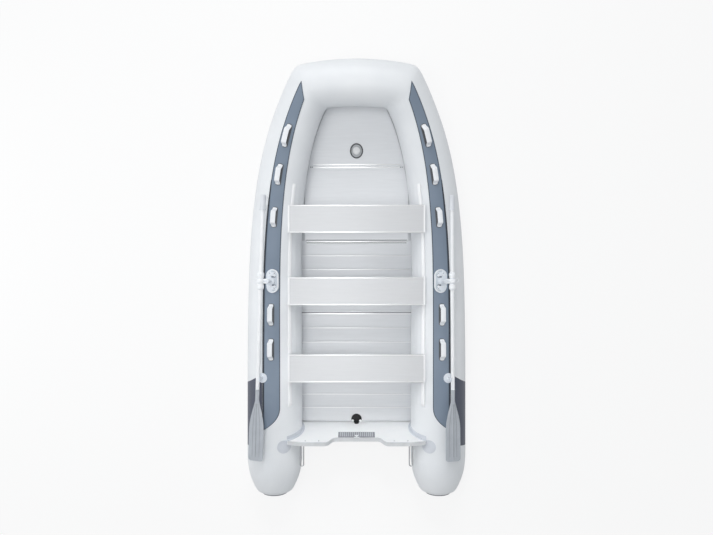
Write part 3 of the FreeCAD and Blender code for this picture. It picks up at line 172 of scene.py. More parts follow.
def port_twin(piece, name):
    """A port copy of a starboard piece, with its own mesh."""
    twin = piece.copy()
    twin.data = piece.data.copy()
    bpy.context.collection.objects.link(twin)
    twin.name = name
    twin.data.name = name
    return turned_over(twin)


def finish(piece, material, replaced=(), body="hull"):
    """Give a piece its finish and its body, and hide what it stands for."""
    piece.data.materials.clear()
    piece.data.materials.append(material)
    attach(piece, body)
    if replaced:
        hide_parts(*replaced)
    return piece


# The starboard tube's line, as in the drawing

def centre(y):
    """Middle of the tube at y; past the bow corner it runs straight on."""
    if y > CORNER_Y:
        slope_x = -(TUBE_X - CORNER_X) * BEND_POWER / (CORNER_Y - BEND_START_Y)
        slope_z = CORNER_RISE * 2.0 / (CORNER_Y - SHEER_START_Y)
        corner_place = Vector((CORNER_X, CORNER_Y, STERN_RADIUS + CORNER_RISE))
        return corner_place + Vector((slope_x, 1, slope_z)) * (y - CORNER_Y)
    bend = max(0.0, (y - BEND_START_Y) / (CORNER_Y - BEND_START_Y))
    sheer = max(0.0, (y - SHEER_START_Y) / (CORNER_Y - SHEER_START_Y))
    x = TUBE_X - (TUBE_X - CORNER_X) * bend ** BEND_POWER
    return Vector((x, y, STERN_RADIUS + CORNER_RISE * sheer ** 2))


def tube_radius(y):
    share = max(0.0, (y - BEND_START_Y) / (TAPER_END_Y - BEND_START_Y))
    return STERN_RADIUS - (STERN_RADIUS - BOW_RADIUS) * min(1.0, share) ** TAPER_POWER


def heading(y):
    return (centre(y + 0.001) - centre(y - 0.001)).normalized()


def level_axes(along, reach=1.0):
    """Outboard and upward half axes of a section across a direction."""
    outboard = along.cross(Vector((0, 0, 1))).normalized()
    return outboard * reach, outboard.cross(along).normalized() * reach


def round_point(middle, along, reach, angle):
    """A point round a line, with the angle in degrees counted up from the outboard side."""
    outboard, upward = level_axes(along, reach)
    return middle + outboard * math.cos(math.radians(angle)) + upward * math.sin(math.radians(angle))


def on_tube(y, angle, lift=0.0):
    return round_point(centre(y), heading(y), tube_radius(y) + lift, angle)


def bow_centre(x):
    share = (x / CORNER_X) ** 2
    middle_z = STERN_RADIUS + CORNER_RISE + MIDDLE_RISE
    return Vector((x, BOW_MIDDLE_Y - CORNER_SETBACK * share, middle_z - MIDDLE_RISE * share))


def bow_heading(x):
    return (bow_centre(x - 0.001) - bow_centre(x + 0.001)).normalized()


def ring_matrix(middle, outboard, upward, along):
    """Carries the unit circle to a ring with these half axes."""
    matrix = Matrix((outboard, upward, along)).transposed().to_4x4()
    matrix.translation = middle
    return matrix


def clamped(share):
    return max(0.0, min(1.0, share))


def spread(first, last, count):
    return [first + (last - first) * i / (count - 1) for i in range(count)]


def swept(name, rings, sides):
    """Extrude a circle from ring to ring."""
    deselect()
    bpy.ops.mesh.primitive_circle_add(vertices=sides, radius=1.0, location=(0, 0, 0))
    piece = named(name)
    bpy.ops.object.mode_set(mode="EDIT")
    mesh = bmesh.from_edit_mesh(piece.data)
    bmesh.ops.transform(mesh, matrix=rings[0], verts=mesh.verts[:])
    for before, after in zip(rings, rings[1:]):
        bpy.ops.mesh.extrude_region_move()
        mesh = bmesh.from_edit_mesh(piece.data)
        ends = [vertex for vertex in mesh.verts if vertex.select]
        bmesh.ops.transform(mesh, matrix=after @ before.inverted(), verts=ends)
    bmesh.update_edit_mesh(piece.data)
    bpy.ops.object.mode_set(mode="OBJECT")
    return piece


def sheet_over(name, columns, rows, place):
    """A grid laid on a surface: place(u, v) gives the point for each share along and across."""
    deselect()
    bpy.ops.mesh.primitive_grid_add(x_subdivisions=columns, y_subdivisions=rows, size=1.0,
                                    location=(0, 0, 0))
    piece = named(name)
    for vertex in piece.data.vertices:
        vertex.co = place(vertex.co.x + 0.5, vertex.co.y + 0.5)
    return piece


def thickened(piece, thickness, offset=1.0):
    return modified(piece, "SOLIDIFY", thickness=thickness, offset=offset)


def faces_up(piece, outwards_from):
    """Turn an open sheet's faces away from a line of points, given by outwards_from(point)."""
    face = piece.data.polygons[len(piece.data.polygons) // 2]
    if (face.center - outwards_from(face.center)).dot(face.normal) < 0:
        piece.data.flip_normals()
    return piece


def cube(name, low, high):
    """A sharp box between two corners."""
    low = Vector(low)
    high = Vector(high)
    deselect()
    bpy.ops.mesh.primitive_cube_add(size=1.0, location=(low + high) / 2, scale=high - low)
    return settle(named(name))


def block(name, low, high, edge=0.0004):
    """A box between two corners with softened edges."""
    return bevelled(cube(name, low, high), edge, 40.0)


def bar(name, half_length, first, last, low_z, high_z, edge=0.0004):
    """A block that lies across the boat's middle from y first to y last."""
    return block(name, (-half_length, first, low_z), (half_length, last, high_z), edge)


def joined(name, pieces, angle=35.0):
    pick(*pieces)
    bpy.ops.object.join()
    return smooth(named(name), angle)


def disc(name, place, radius, height, direction=(0, 0, 1), sides=32, edge=0.0006):
    """A short round piece that stands on a place."""
    direction = Vector(direction).normalized()
    deselect()
    bpy.ops.mesh.primitive_cylinder_add(vertices=sides, radius=radius, depth=height,
                                        location=Vector(place) + direction * (height / 2),
                                        rotation=direction.to_track_quat("Z", "Y").to_euler())
    return smooth(bevelled(settle(named(name)), edge, 40.0), 35.0)


def torus(name, place, radius, minor, sides=48, minor_sides=10, rotation=(0, 0, 0)):
    deselect()
    bpy.ops.mesh.primitive_torus_add(major_segments=sides, minor_segments=minor_sides, major_radius=radius,
                                     minor_radius=minor, location=place, rotation=rotation)
    return settle(named(name))


def faces_of(piece):
    """The faces of a drawn piece, to lay things on."""
    return BVHTree.FromPolygons([vertex.co for vertex in piece.data.vertices],
                                [tuple(face.vertices) for face in piece.data.polygons])


# Finishes

def shader(name, colour, roughness, metallic=0.0):
    material = bpy.data.materials.new(name)
    material.use_nodes = True
    surface = surface_of(material)
    surface.inputs["Base Color"].default_value = (*colour, 1.0)
    surface.inputs["Roughness"].default_value = roughness
    surface.inputs["Metallic"].default_value = metallic
    return material


def surface_of(material):
    return material.node_tree.nodes["Principled BSDF"]


def add_node(material, kind, **settings):
    """A new node; a name with a capital is one of its inputs, and any other is a setting."""
    node = material.node_tree.nodes.new(kind)
    for key, value in settings.items():
        label = key.replace("_", " ")
        if label in node.inputs:
            node.inputs[label].default_value = value
        else:
            setattr(node, key, value)
    return node


def link(material, start, end):
    material.node_tree.links.new(start, end)


def place_pattern(material, stretch=(1.0, 1.0, 1.0)):
    """Object coordinates, stretched."""
    source = add_node(material, "ShaderNodeTexCoord")
    mapping = add_node(material, "ShaderNodeMapping", Scale=stretch)
    link(material, source.outputs["Object"], mapping.inputs["Vector"])
    return mapping.outputs["Vector"]


def noise(material, scale, stretch=(1.0, 1.0, 1.0), detail=4.0):
    pattern = add_node(material, "ShaderNodeTexNoise", Scale=scale, Detail=detail)
    link(material, place_pattern(material, stretch), pattern.inputs["Vector"])
    return pattern.outputs["Fac"]


def vary_colour(material, dark, light, scale, stretch=(1.0, 1.0, 1.0)):
    """Mottle the colour between two close tones."""
    ramp = add_node(material, "ShaderNodeValToRGB")
    ramp.color_ramp.elements[0].position = 0.3
    ramp.color_ramp.elements[1].position = 0.7
    ramp.color_ramp.elements[0].color = (*dark, 1.0)
    ramp.color_ramp.elements[1].color = (*light, 1.0)
    link(material, noise(material, scale, stretch), ramp.inputs["Fac"])
    link(material, ramp.outputs["Color"], surface_of(material).inputs["Base Color"])


def vary_roughness(material, low, high, scale, stretch=(1.0, 1.0, 1.0)):
    spread_out = add_node(material, "ShaderNodeMapRange", To_Min=low, To_Max=high)
    link(material, noise(material, scale, stretch, 3.0), spread_out.inputs["Value"])
    link(material, spread_out.outputs["Result"], surface_of(material).inputs["Roughness"])


def raise_bumps(material, heights):
    """Pairs of height output and depth in metres, that follow one another into the surface's normal."""
    last = None
    for output, depth in heights:
        bump = add_node(material, "ShaderNodeBump", Distance=depth, Strength=1.0)
        link(material, output, bump.inputs["Height"])
        if last:
            link(material, last, bump.inputs["Normal"])
        last = bump.outputs["Normal"]
    link(material, last, surface_of(material).inputs["Normal"])


def line_height(material, direction, spacing):
    """Even ridges across a direction, spacing metres apart."""
    wave = add_node(material, "ShaderNodeTexWave", wave_type="BANDS", bands_direction=direction,
                    Scale=math.tau / 20.0 / spacing, Distortion=0.0)
    link(material, place_pattern(material), wave.inputs["Vector"])
    return wave.outputs["Fac"]


def weave_height(material, spacing):
    """Crossed threads under a coating."""
    height = line_height(material, "Y", spacing)
    for direction, operation in (("Z", "MULTIPLY"), ("X", "ADD")):
        step = add_node(material, "ShaderNodeMath", operation=operation)
        link(material, height, step.inputs[0])
        link(material, line_height(material, direction, spacing), step.inputs[1])
        height = step.outputs[0]
    return height


def coated_fabric(name, dark, light, roughness):
    """Coated boat cloth: faint threads, slow mottling and slack ripples."""
    material = shader(name, light, roughness)
    vary_colour(material, dark, light, 2.2)
    vary_roughness(material, roughness - 0.06, roughness + 0.08, 9.0)
    surface = surface_of(material)
    surface.inputs["Sheen Weight"].default_value = 0.05
    surface.inputs["Coat Weight"].default_value = 0.08
    surface.inputs["Coat Roughness"].default_value = 0.35
    ripples = noise(material, 3.0, (1.0, 0.35, 1.0), 2.0)
    threads = weave_height(material, 0.0016)
    raise_bumps(material, [(ripples, 0.004), (threads, 0.00012)])
    return material


def moulded(name, dark, light, roughness, grain=0.0004):
    """Moulded plastic or rubber with a fine grain."""
    material = shader(name, light, roughness)
    vary_colour(material, dark, light, 14.0)
    vary_roughness(material, roughness - 0.05, roughness + 0.08, 40.0)
    raise_bumps(material, [(noise(material, 900.0), grain * 0.4), (noise(material, 60.0), grain)])
    return material


def brushed_metal(name, dark, light, roughness, stretch, metallic=0.85):
    """Drawn or rolled metal with fine lines along its length."""
    material = shader(name, light, roughness, metallic)
    vary_colour(material, dark, light, 6.0, stretch)
    vary_roughness(material, roughness - 0.07, roughness + 0.1, 30.0, stretch)
    raise_bumps(material, [(noise(material, 90.0, stretch), 0.0002)])
    return material


ALONG_X = (1.0, 14.0, 14.0)
tube_cloth = coated_fabric("pale tube cloth", (0.8, 0.825, 0.85), (0.87, 0.89, 0.91), 0.42)
band_cloth = coated_fabric("slate blue crown cloth", (0.185, 0.235, 0.305), (0.225, 0.28, 0.355), 0.6)
# Dark edging of the crown cloth: partly the band's own edge, partly painted shade along its edges
edge_cloth_and_shade = coated_fabric("dark crown edge and painted shade", (0.075, 0.095, 0.125), (0.095, 0.12, 0.155), 0.6)
patch_cloth = coated_fabric("dark side cloth", (0.07, 0.082, 0.115), (0.09, 0.1, 0.14), 0.5)
bottom_cloth = coated_fabric("grey bottom cloth", (0.6, 0.62, 0.64), (0.68, 0.7, 0.72), 0.5)
strake_rubber = moulded("pale strake rubber", (0.66, 0.68, 0.71), (0.74, 0.76, 0.79), 0.55)
# Dark grey cap plastic, darker also to paint the shadow line at the cones' ends
cap_plastic_and_shade = moulded("cone cap plastic, darkened as shade", (0.17, 0.18, 0.2), (0.21, 0.22, 0.24), 0.45)
seal_rubber = moulded("dark seal rubber", (0.075, 0.08, 0.09), (0.1, 0.105, 0.115), 0.55)
# Bright beads on the floor seams and bench edges, their white partly a painted highlight
bright_bead_and_highlight = brushed_metal("bright seam bead and painted highlight", (0.94, 0.945, 0.95), (0.96, 0.965, 0.97), 0.3, ALONG_X, 0.5)
# Dark grey for the painted shadow beside the floor seams and the dots at the bow joiner's ends
seam_shadow_and_end_dots = moulded("painted seam shadow and end dots", (0.13, 0.135, 0.14), (0.17, 0.175, 0.18), 0.6, 0.0001)
valve_plastic = moulded("valve plastic", (0.9, 0.905, 0.915), (0.94, 0.945, 0.95), 0.4)
handle_rubber = moulded("pale handle rubber", (0.84, 0.86, 0.89), (0.9, 0.92, 0.95), 0.45)
lock_plastic = moulded("oarlock plastic", (0.72, 0.76, 0.82), (0.8, 0.84, 0.89), 0.38)
blade_plastic = moulded("grey blade plastic", (0.425, 0.455, 0.495), (0.465, 0.495, 0.535), 0.42)
# Dark grey strips that paint the shade along the blade's rib and valleys
blade_shade = moulded("painted blade shade", (0.2, 0.215, 0.235), (0.235, 0.25, 0.27), 0.5, 0.0001)
pad_plastic = moulded("white oarlock plastic", (0.88, 0.905, 0.94), (0.92, 0.94, 0.965), 0.32)
# Bluish plastic of the pad's field, darkened as painted shade of the recess
field_plastic_and_recess_shade = moulded("bluish oarlock plastic, darkened as recess shade", (0.56, 0.61, 0.67), (0.66, 0.71, 0.76), 0.45)
# Near black: the painted shadow that the stowed oar casts on the crown cloth
oar_shadow_paint = moulded("painted oar shadow strip", (0.022, 0.027, 0.038), (0.032, 0.038, 0.052), 0.6)
# Dark grey for the slots and screw heads on the pads: painted shade in them
painted_recess_shade = moulded("shaded oarlock plastic", (0.16, 0.18, 0.22), (0.22, 0.24, 0.28), 0.5)
rib_plastic = moulded("pale plate rib", (0.5, 0.52, 0.55), (0.6, 0.62, 0.65), 0.5)
# Dark grey edge strips whose darkness partly paints the shade where the floor meets the tubes
edge_strip_and_shade = moulded("floor edge strip and painted shade", (0.3, 0.32, 0.35), (0.36, 0.38, 0.41), 0.5)
grip_plastic = moulded("oar grip plastic", (0.7, 0.725, 0.765), (0.76, 0.785, 0.825), 0.5)
trim_plastic = moulded("grey transom moulding", (0.66, 0.675, 0.69), (0.73, 0.745, 0.76), 0.42)
holder_plastic = moulded("pale transom holder", (0.6, 0.63, 0.68), (0.68, 0.71, 0.76), 0.4)
plate_plastic = moulded("motor plate plastic", (0.26, 0.27, 0.3), (0.32, 0.33, 0.36), 0.5)
black_plastic = moulded("black drain plastic", (0.006, 0.006, 0.007), (0.01, 0.01, 0.011), 0.65)
bench_plastic = moulded("white bench trim", (0.93, 0.94, 0.955), (0.96, 0.965, 0.975), 0.32)
board_paint = moulded("white transom paint", (0.93, 0.945, 0.955), (0.96, 0.97, 0.975), 0.3, 0.0002)
shaft_paint = moulded("white shaft coat", (0.87, 0.89, 0.91), (0.93, 0.94, 0.955), 0.28, 0.0001)
floor_metal = brushed_metal("anodised floor", (0.775, 0.79, 0.81), (0.8, 0.815, 0.835), 0.45, ALONG_X, 0.15)
bench_metal = brushed_metal("anodised bench", (0.7, 0.71, 0.725), (0.72, 0.73, 0.745), 0.5, ALONG_X, 0.1)
steel = brushed_metal("polished steel", (0.55, 0.56, 0.57), (0.66, 0.67, 0.68), 0.22, (8.0, 1.0, 8.0), 1.0)


# The drawn solids that stay in sight; the others are drawn again below

for material, names in (
        (seal_rubber, ("valve_opening_rim",)),
        (valve_plastic, ("keel_valve", "tube_valves")),
        (floor_metal, ("floor_bow_board", "floor_forward_board", "floor_joiners")),
        (board_paint, ("transom",)),
        (trim_plastic, ("transom_edge_cap",)),
        (holder_plastic, ("transom_holders",)),
        (plate_plastic, ("motor_plate_inner", "motor_plate_outer")),
        (steel, ("stern_eyes", "tow_ring")),
        (strake_rubber, ("tow_ring_patch",)),
        (bench_plastic, ("bench_ends",)),
        (lock_plastic, ("oarlock_bases", "oar_clips", "oarlock_swivel_port", "oarlock_swivel_starboard",
                        "oarlock_collar_port", "oarlock_collar_starboard")),
        (shaft_paint, ("oar_shaft_port", "oar_shaft_starboard")),
        (grip_plastic, ("oar_grip_port", "oar_grip_starboard"))):
    for name in names:
        nodes[name].data.materials.clear()
        nodes[name].data.materials.append(material)


# Inflated tubes: one skin from the starboard cone round the bow, then mirrored to port

def cone_radius(y):
    """Half width of the blunt stern cone, from its end cap forward."""
    share = min(1.0, (y - CONE_END_Y) / (CONE_FRONT_Y - CONE_END_Y))
    rounding = max(0.0, 1.0 - (y - CONE_END_Y) / CONE_ROUNDING) ** 2
    swell = CONE_END_RADIUS + (STERN_RADIUS - CONE_END_RADIUS) * math.sin(share * math.pi / 2) ** 0.85
    return swell - (CONE_END_RADIUS - CONE_CAP_SEAT) * rounding


def leaned_ring(middle, outboard, upward, along, share):
    """A ring whose half axes lean by a share of the way into the mitre plane."""
    axes = [axis - along * (share * mitre.dot(axis) / mitre.dot(along)) for axis in (outboard, upward)]
    return ring_matrix(middle, *axes, along)


CAGE_SIDES = 24
cage_growth = 3.0 / (2.0 + math.cos(math.tau / CAGE_SIDES))
rings = []
for y in [CONE_END_Y + d for d in (0.0, 0.002, 0.007, 0.017, 0.04, 0.075, 0.11, 0.15, 0.205, 0.27)]:
    along = Vector((0, 1, 0))
    axes = level_axes(along, cone_radius(y) * cage_growth)
    rings.append(ring_matrix(Vector((TUBE_X, y, STERN_RADIUS)), *axes, along))
for y in spread(-1.36, BEND_START_Y, 6) + spread(BEND_START_Y + 0.09, CORNER_Y - 0.3, 22):
    along = heading(y)
    rings.append(ring_matrix(centre(y), *level_axes(along, tube_radius(y) * cage_growth), along))

side_along = heading(CORNER_Y)
bow_along = bow_heading(CORNER_X)
mitre = (side_along + bow_along).normalized()
corner = centre(CORNER_Y)
radius = BOW_RADIUS * cage_growth
side_out = level_axes(side_along, radius)[0]
for y, share in ((CORNER_Y - 0.22, 0.2), (CORNER_Y - 0.14, 0.5), (CORNER_Y - 0.065, 0.82), (CORNER_Y, 1.0)):
    along = heading(y)
    rings.append(leaned_ring(centre(y), *level_axes(along, radius), along, share))

bow_out = side_out - mitre * (2.0 * mitre.dot(side_out))
level_out, level_up = level_axes(bow_along)
corner_turn = math.atan2(bow_out.dot(level_up), bow_out.dot(level_out))
for x, share in (
        (CORNER_X - 0.065, 0.82), (CORNER_X - 0.13, 0.5), (CORNER_X - 0.2, 0.2), (0.08, 0.0), (0.0, 0.0)):
    along = bow_heading(x)
    turned = Matrix.Rotation(-corner_turn * x / CORNER_X, 3, along)
    axes = [turned @ axis for axis in level_axes(along, radius)]
    rings.append(leaned_ring(bow_centre(x), *axes, along, share))

hull_tubes = swept("inflated_tubes", rings, CAGE_SIDES)
hull_tubes = modified(mirrored_over(hull_tubes), "SUBSURF", levels=2, render_levels=2)
smooth(reshaped(hull_tubes, bpy.ops.mesh.normals_make_consistent, inside=False), 60.0)
finish(hull_tubes, tube_cloth,
       ("tube_aft_port", "tube_aft_starboard", "tube_forward_port", "tube_forward_starboard", "tube_bow",
        "cone_port", "cone_starboard"))

skin = faces_of(hull_tubes)


def on_skin(y, angle, lift=0.0):
    """A point over the finished skin of the starboard tube."""
    middle = centre(y)
    outward = (on_tube(y, angle) - middle).normalized()
    return skin.ray_cast(middle, outward)[0] + outward * lift


def over_skin(point, lift):
    """The point's own place on the finished skin, and lift above it."""
    spot = skin.find_nearest(point)[0]
    return spot + (point - spot).normalized() * lift


# Bands along the tubes' tops and patches on their sides, laid over the cloth

BAND_TIP_Y = 1.571
BAND_WIDEST_Y = 1.48
BAND_TAIL_Y = -1.17
BAND_TAIL_LENGTH = 0.19
BAND_OUTER_ANGLE = 71.0
BAND_INNER_ANGLE = 107.0
BAND_TOP = SEAT + BAND_THICKNESS
EDGE_ANGLE = 2.1


def full_band_angles(y):
    """Edge angles of the crown band where it is whole."""
    share = clamped(y / BAND_WIDEST_Y)
    return BAND_OUTER_ANGLE + 2.5 * share, BAND_INNER_ANGLE - 7.0 * share ** 4


def band_angles(y):
    """Edge angles of the crown band, drawn in to a point at the bow and rounded off aft."""
    outer, inner = full_band_angles(y)
    tip = clamped((BAND_TIP_Y - y) / (BAND_TIP_Y - BAND_WIDEST_Y))
    tail = clamped((y - BAND_TAIL_Y) / BAND_TAIL_LENGTH)
    return outer, outer + (inner - outer) * tip ** 0.85 * (1.0 - (1.0 - tail) ** 2.4) + 0.05


def tube_middle(point):
    return centre(point.y) if point.x > 0 else centre(point.y) * Vector((-1, 1, 1))


def band_y(u):
    """Places along the band, closer together at its tail and its tip."""
    return BAND_TAIL_Y + (BAND_TIP_Y - BAND_TAIL_Y) * (0.5 - 0.5 * math.cos(math.pi * u)) ** 0.9


def crown_band_place(u, v):
    y = band_y(u)
    outer, inner = band_angles(y)
    return on_skin(y, outer + (inner - outer) * v, SEAT)


def outer_edge_and_oar_shadow_place(u, v):
    """The dark outer edge, widened with painted shadow where the stowed oar lies over it."""
    y = band_y(u)
    outer, inner = band_angles(y)
    # The width added past EDGE_ANGLE toward the stern is painted shadow of the oar
    edge_and_oar_shadow = EDGE_ANGLE + 1.8 * clamped((0.85 - y) / 0.25)
    return on_skin(y, outer + min(edge_and_oar_shadow, inner - outer) * v, BAND_TOP)


def inner_edge_place(u, v):
    y = band_y(u)
    outer, inner = band_angles(y)
    return on_skin(y, inner - min(EDGE_ANGLE, inner - outer) * v, BAND_TOP)


def cloth_patch(name, columns, rows, place, material, replaced=(), thickness=BAND_THICKNESS):
    """A starboard patch of cloth, with its port twin; SIDE in a replaced name stands for either."""
    patch = sheet_over(name + "_starboard", columns, rows, place)
    patch = thickened(faces_up(patch, tube_middle), thickness, 1.0)
    patch = smooth(bevelled(patch, thickness * 0.3), 40.0)
    twin = port_twin(patch, name + "_port")
    for side, piece in (("starboard", patch), ("port", twin)):
        finish(piece, material, [node.replace("SIDE", side) for node in replaced])
    return patch, twin


cloth_patch("crown_cloth", 180, 14, crown_band_place, band_cloth, ("crown_band_SIDE",))
# Thin dark edges on both sides of the band, partly painted shade at its edges
cloth_patch("crown_outer_edge_and_oar_shadow", 180, 3, outer_edge_and_oar_shadow_place, edge_cloth_and_shade, (), 0.0008)
cloth_patch("crown_inner_edge", 180, 3, inner_edge_place, edge_cloth_and_shade, (), 0.0008)


OAR_SHADOW_AFT_Y = -1.08
OAR_SHADOW_LENGTH = 1.92


def oar_shadow_strip_place(u, v):
    """Painted shadow of the stowed oar: a dark strip along the outer edge of the crown cloth."""
    y = OAR_SHADOW_AFT_Y + OAR_SHADOW_LENGTH * u
    taper = min(1.0, 30.0 * u, 30.0 * (1.0 - u))
    return on_skin(y, band_angles(y)[0] - 0.3 + 2.9 * taper * v, BAND_TOP + 0.0004)


# A dark sheet laid where the oar's shadow falls: painted shadow
cloth_patch("oar_shadow_strip", 120, 4, oar_shadow_strip_place, oar_shadow_paint, (), 0.0016)

PATCH_FRONT_Y = -0.723
PATCH_AFT_Y = -1.323
PATCH_TOP_ANGLE = 69.6
PATCH_SPAN = 58.0


def side_patch_place(u, v):
    """The dark cloth on the side, with its front edge slanting and its lower aft corner drawn out."""
    angle = PATCH_TOP_ANGLE - PATCH_SPAN * v
    slant = math.cos(math.radians(angle)) - math.cos(math.radians(PATCH_TOP_ANGLE))
    front = PATCH_FRONT_Y - 0.136 * slant
    aft = PATCH_AFT_Y + 0.034 * (1.0 - v)
    return on_skin(aft + (front - aft) * u, angle, SEAT)


side_patches = cloth_patch("side_cloth", 60, 24, side_patch_place, patch_cloth)
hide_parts("side_patches")


# Rub strake: one ribbed moulding along both sides and round the bow

def to_mitre(point, along):
    """Slide a point along the tube until it meets the mitre plane."""
    return point - along * (mitre.dot(point - corner) / mitre.dot(along))


def bow_point(x, angle, lift):
    return round_point(bow_centre(x), bow_heading(x), BOW_RADIUS + lift, angle)


def corner_point(angle, lift):
    """Where the side tube's and the bow tube's lines at one angle meet on the mitre."""
    side_end = to_mitre(on_tube(CORNER_Y, angle, lift), heading(CORNER_Y))
    return (side_end + to_mitre(bow_point(CORNER_X, angle, lift), bow_heading(CORNER_X))) / 2


def strake_lift(v):
    """Height over the cloth, across a moulding with three ridges."""
    dome = math.sin(math.pi * v) ** 0.4
    ridges = 0.5 + 0.5 * math.cos(v * math.tau * 3.0 + math.pi)
    return SEAT + dome * (0.0042 + 0.0018 * ridges)


STRAKE_LOW_ANGLE = -11.0
STRAKE_SPAN = 14.0
SIDE_SHARE = 0.74
MITRE_SHARE = 0.8
BOW_SHARE = 0.86


def strake_place(u, v):
    """The side, the two halves of the bow corner, then the bow, each with its share of u."""
    angle = STRAKE_LOW_ANGLE + STRAKE_SPAN * v
    lift = 0.012
    meeting = corner_point(angle, lift)
    if u <= SIDE_SHARE:
        point = on_tube(CONE_FRONT_Y + (CORNER_Y - CONE_FRONT_Y) * u / SIDE_SHARE, angle, lift)
    elif u <= MITRE_SHARE:
        share = (u - SIDE_SHARE) / (MITRE_SHARE - SIDE_SHARE)
        point = on_tube(CORNER_Y, angle, lift).lerp(meeting, share)
    elif u <= BOW_SHARE:
        share = (u - MITRE_SHARE) / (BOW_SHARE - MITRE_SHARE)
        point = meeting.lerp(bow_point(CORNER_X, angle, lift), share)
    else:
        point = bow_point(CORNER_X * (1.0 - (u - BOW_SHARE) / (1.0 - BOW_SHARE)), angle, lift)
    return over_skin(point, strake_lift(v))


def nearest_middle(point):
    return centre(point.y) if point.y < CORNER_Y else bow_centre(min(point.x, CORNER_X))


strake = sheet_over("rub_strake_moulding", 240, 25, strake_place)
strake = thickened(faces_up(strake, nearest_middle), 0.0012, -1.0)
strake = smooth(mirrored_over(strake), 50.0)
finish(strake, strake_rubber,
       ("rub_strake_port", "rub_strake_starboard", "rub_strake_bow"))


# Seam tapes: a ring behind each cone, one over each mitre, and one along each tube's inner side

def cone_tape_place(u, v):
    return on_skin(CONE_FRONT_Y - 0.022 + 0.034 * v, 360.0 * u, SEAT)


def inner_tape_place(u, v):
    y = -1.42 + 2.8 * u
    return on_skin(y, 196.0 + 5.0 * v, SEAT)


def mitre_tape_place(u, v):
    """A strip over the mitre between the side tube and the bow tube."""
    reach = 0.016 * (v * 2.0 - 1.0)
    along = heading(CORNER_Y) if reach < 0 else bow_heading(CORNER_X)
    return over_skin(corner_point(360.0 * u, 0.01) + along * reach, SEAT)


for name, columns, rows, place in (
        ("cone_tape", 96, 3, cone_tape_place),
        ("inner_tape", 120, 3, inner_tape_place),
        ("mitre_tape", 96, 5, mitre_tape_place)):
    tape = sheet_over(name + "_starboard", columns, rows, place)
    tape = smooth(thickened(faces_up(tape, tube_middle), 0.0008, 1.0), 40.0)
    finish(tape, tube_cloth)
    finish(port_twin(tape, name + "_port"), tube_cloth)


# Bottom: the drawn form, with tapes over its chines and its keel, and an apron up to the bow tube

deselect()
bottom = nodes["hull_bottom"].copy()
bottom.data = nodes["hull_bottom"].data.copy()
bpy.context.collection.objects.link(bottom)
bottom.parent = None
bottom.name = "bottom_cloth"
bottom.data.name = "bottom_cloth"
smooth(reshaped(bottom, bpy.ops.mesh.remove_doubles, threshold=0.0002), 14.0)
finish(bottom, bottom_cloth, ("hull_bottom",))

bottom_faces = faces_of(bottom)


def from_below(faces, x, y):
    """Height at which a ray from below meets a piece, or None where it passes by."""
    place = faces.ray_cast(Vector((x, y, -1.0)), Vector((0, 0, 1)))[0]
    return place.z if place else None


def underside(x, y, lift=0.0018):
    """A point just under the lower of the tube and the bottom."""
    heights = [z for z in (from_below(skin, x, y), from_below(bottom_faces, x, y)) if z is not None]
    return Vector((x, y, min(heights) - lift))


def on_bottom(x, y):
    """Whether the bottom is what shows from below."""
    bottom_z = from_below(bottom_faces, x, y)
    skin_z = from_below(skin, x, y)
    return bottom_z is not None and (skin_z is None or bottom_z < skin_z)


def chine_x(y):
    """Half width of the open bottom at y, between the tubes."""
    x = 0.05
    while on_bottom(x + 0.002, y):
        x += 0.002
    return x


def bottom_front_y(x):
    """How far forward the bottom's cloth reaches at x."""
    y = 1.2
    while from_below(bottom_faces, x, y + 0.002) is not None:
        y += 0.002
    return y


CHINE_AFT_Y = -1.15
CHINE_FRONT_Y = 1.32
APRON_HALF_WIDTH = 0.365
APRON_FLAP = 0.2
chine_places = [chine_x(y) for y in spread(CHINE_AFT_Y, CHINE_FRONT_Y, 86)]
front_places = [bottom_front_y(x) for x in spread(-APRON_HALF_WIDTH, APRON_HALF_WIDTH, 61)]


def between(places, u):
    """A list's value at the share u of its length."""
    spot = u * (len(places) - 1)
    low = min(int(spot), len(places) - 2)
    return places[low] + (places[low + 1] - places[low]) * (spot - low)


def chine_tape_place(u, v):
    y = CHINE_AFT_Y + (CHINE_FRONT_Y - CHINE_AFT_Y) * u
    return underside(between(chine_places, u) + 0.03 - 0.055 * v, y)


def apron_place(u, v):
    """The cloth that goes up from the bottom's front edge and is glued under the bow tube."""
    x = APRON_HALF_WIDTH * (2 * u - 1)
    edge = between(front_places, u) - 0.006
    reach = 0.02 + 0.075 * (1 - (2 * u - 1) ** 2)

    def under(faces, y):
        return Vector((x, y, from_below(faces, x, y) - 0.0015))

    if v < APRON_FLAP:
        return under(bottom_faces, edge - 0.024 * (1 - v / APRON_FLAP))
    if v > 1 - APRON_FLAP:
        return under(skin, edge + reach + 0.03 * (v - 1 + APRON_FLAP) / APRON_FLAP)
    share = (v - APRON_FLAP) / (1 - 2 * APRON_FLAP)
    slack = Vector((0, 0.01, -0.006)) * math.sin(math.pi * share)
    return under(bottom_faces, edge).lerp(under(skin, edge + reach), share) + slack


def keel_tape_place(u, v):
    return underside(-0.022 + 0.044 * v, CHINE_AFT_Y + 2.5 * u, 0.0012)


chine_tape = thickened(sheet_over("chine_tape_starboard", 110, 8, chine_tape_place), 0.0012, 0.0)
finish(port_twin(chine_tape, "chine_tape_port"), tube_cloth)
finish(chine_tape, tube_cloth)
bow_apron = smooth(thickened(sheet_over("bow_apron", 90, 30, apron_place), 0.0024, 0.0), 50.0)
finish(bow_apron, bottom_cloth)
keel_tape = thickened(sheet_over("keel_tape", 110, 6, keel_tape_place), 0.002, 0.0)
finish(keel_tape, strake_rubber)


# Floor planks: an extruded plank with shallow grooves, repeated, the aft one cut for the drain

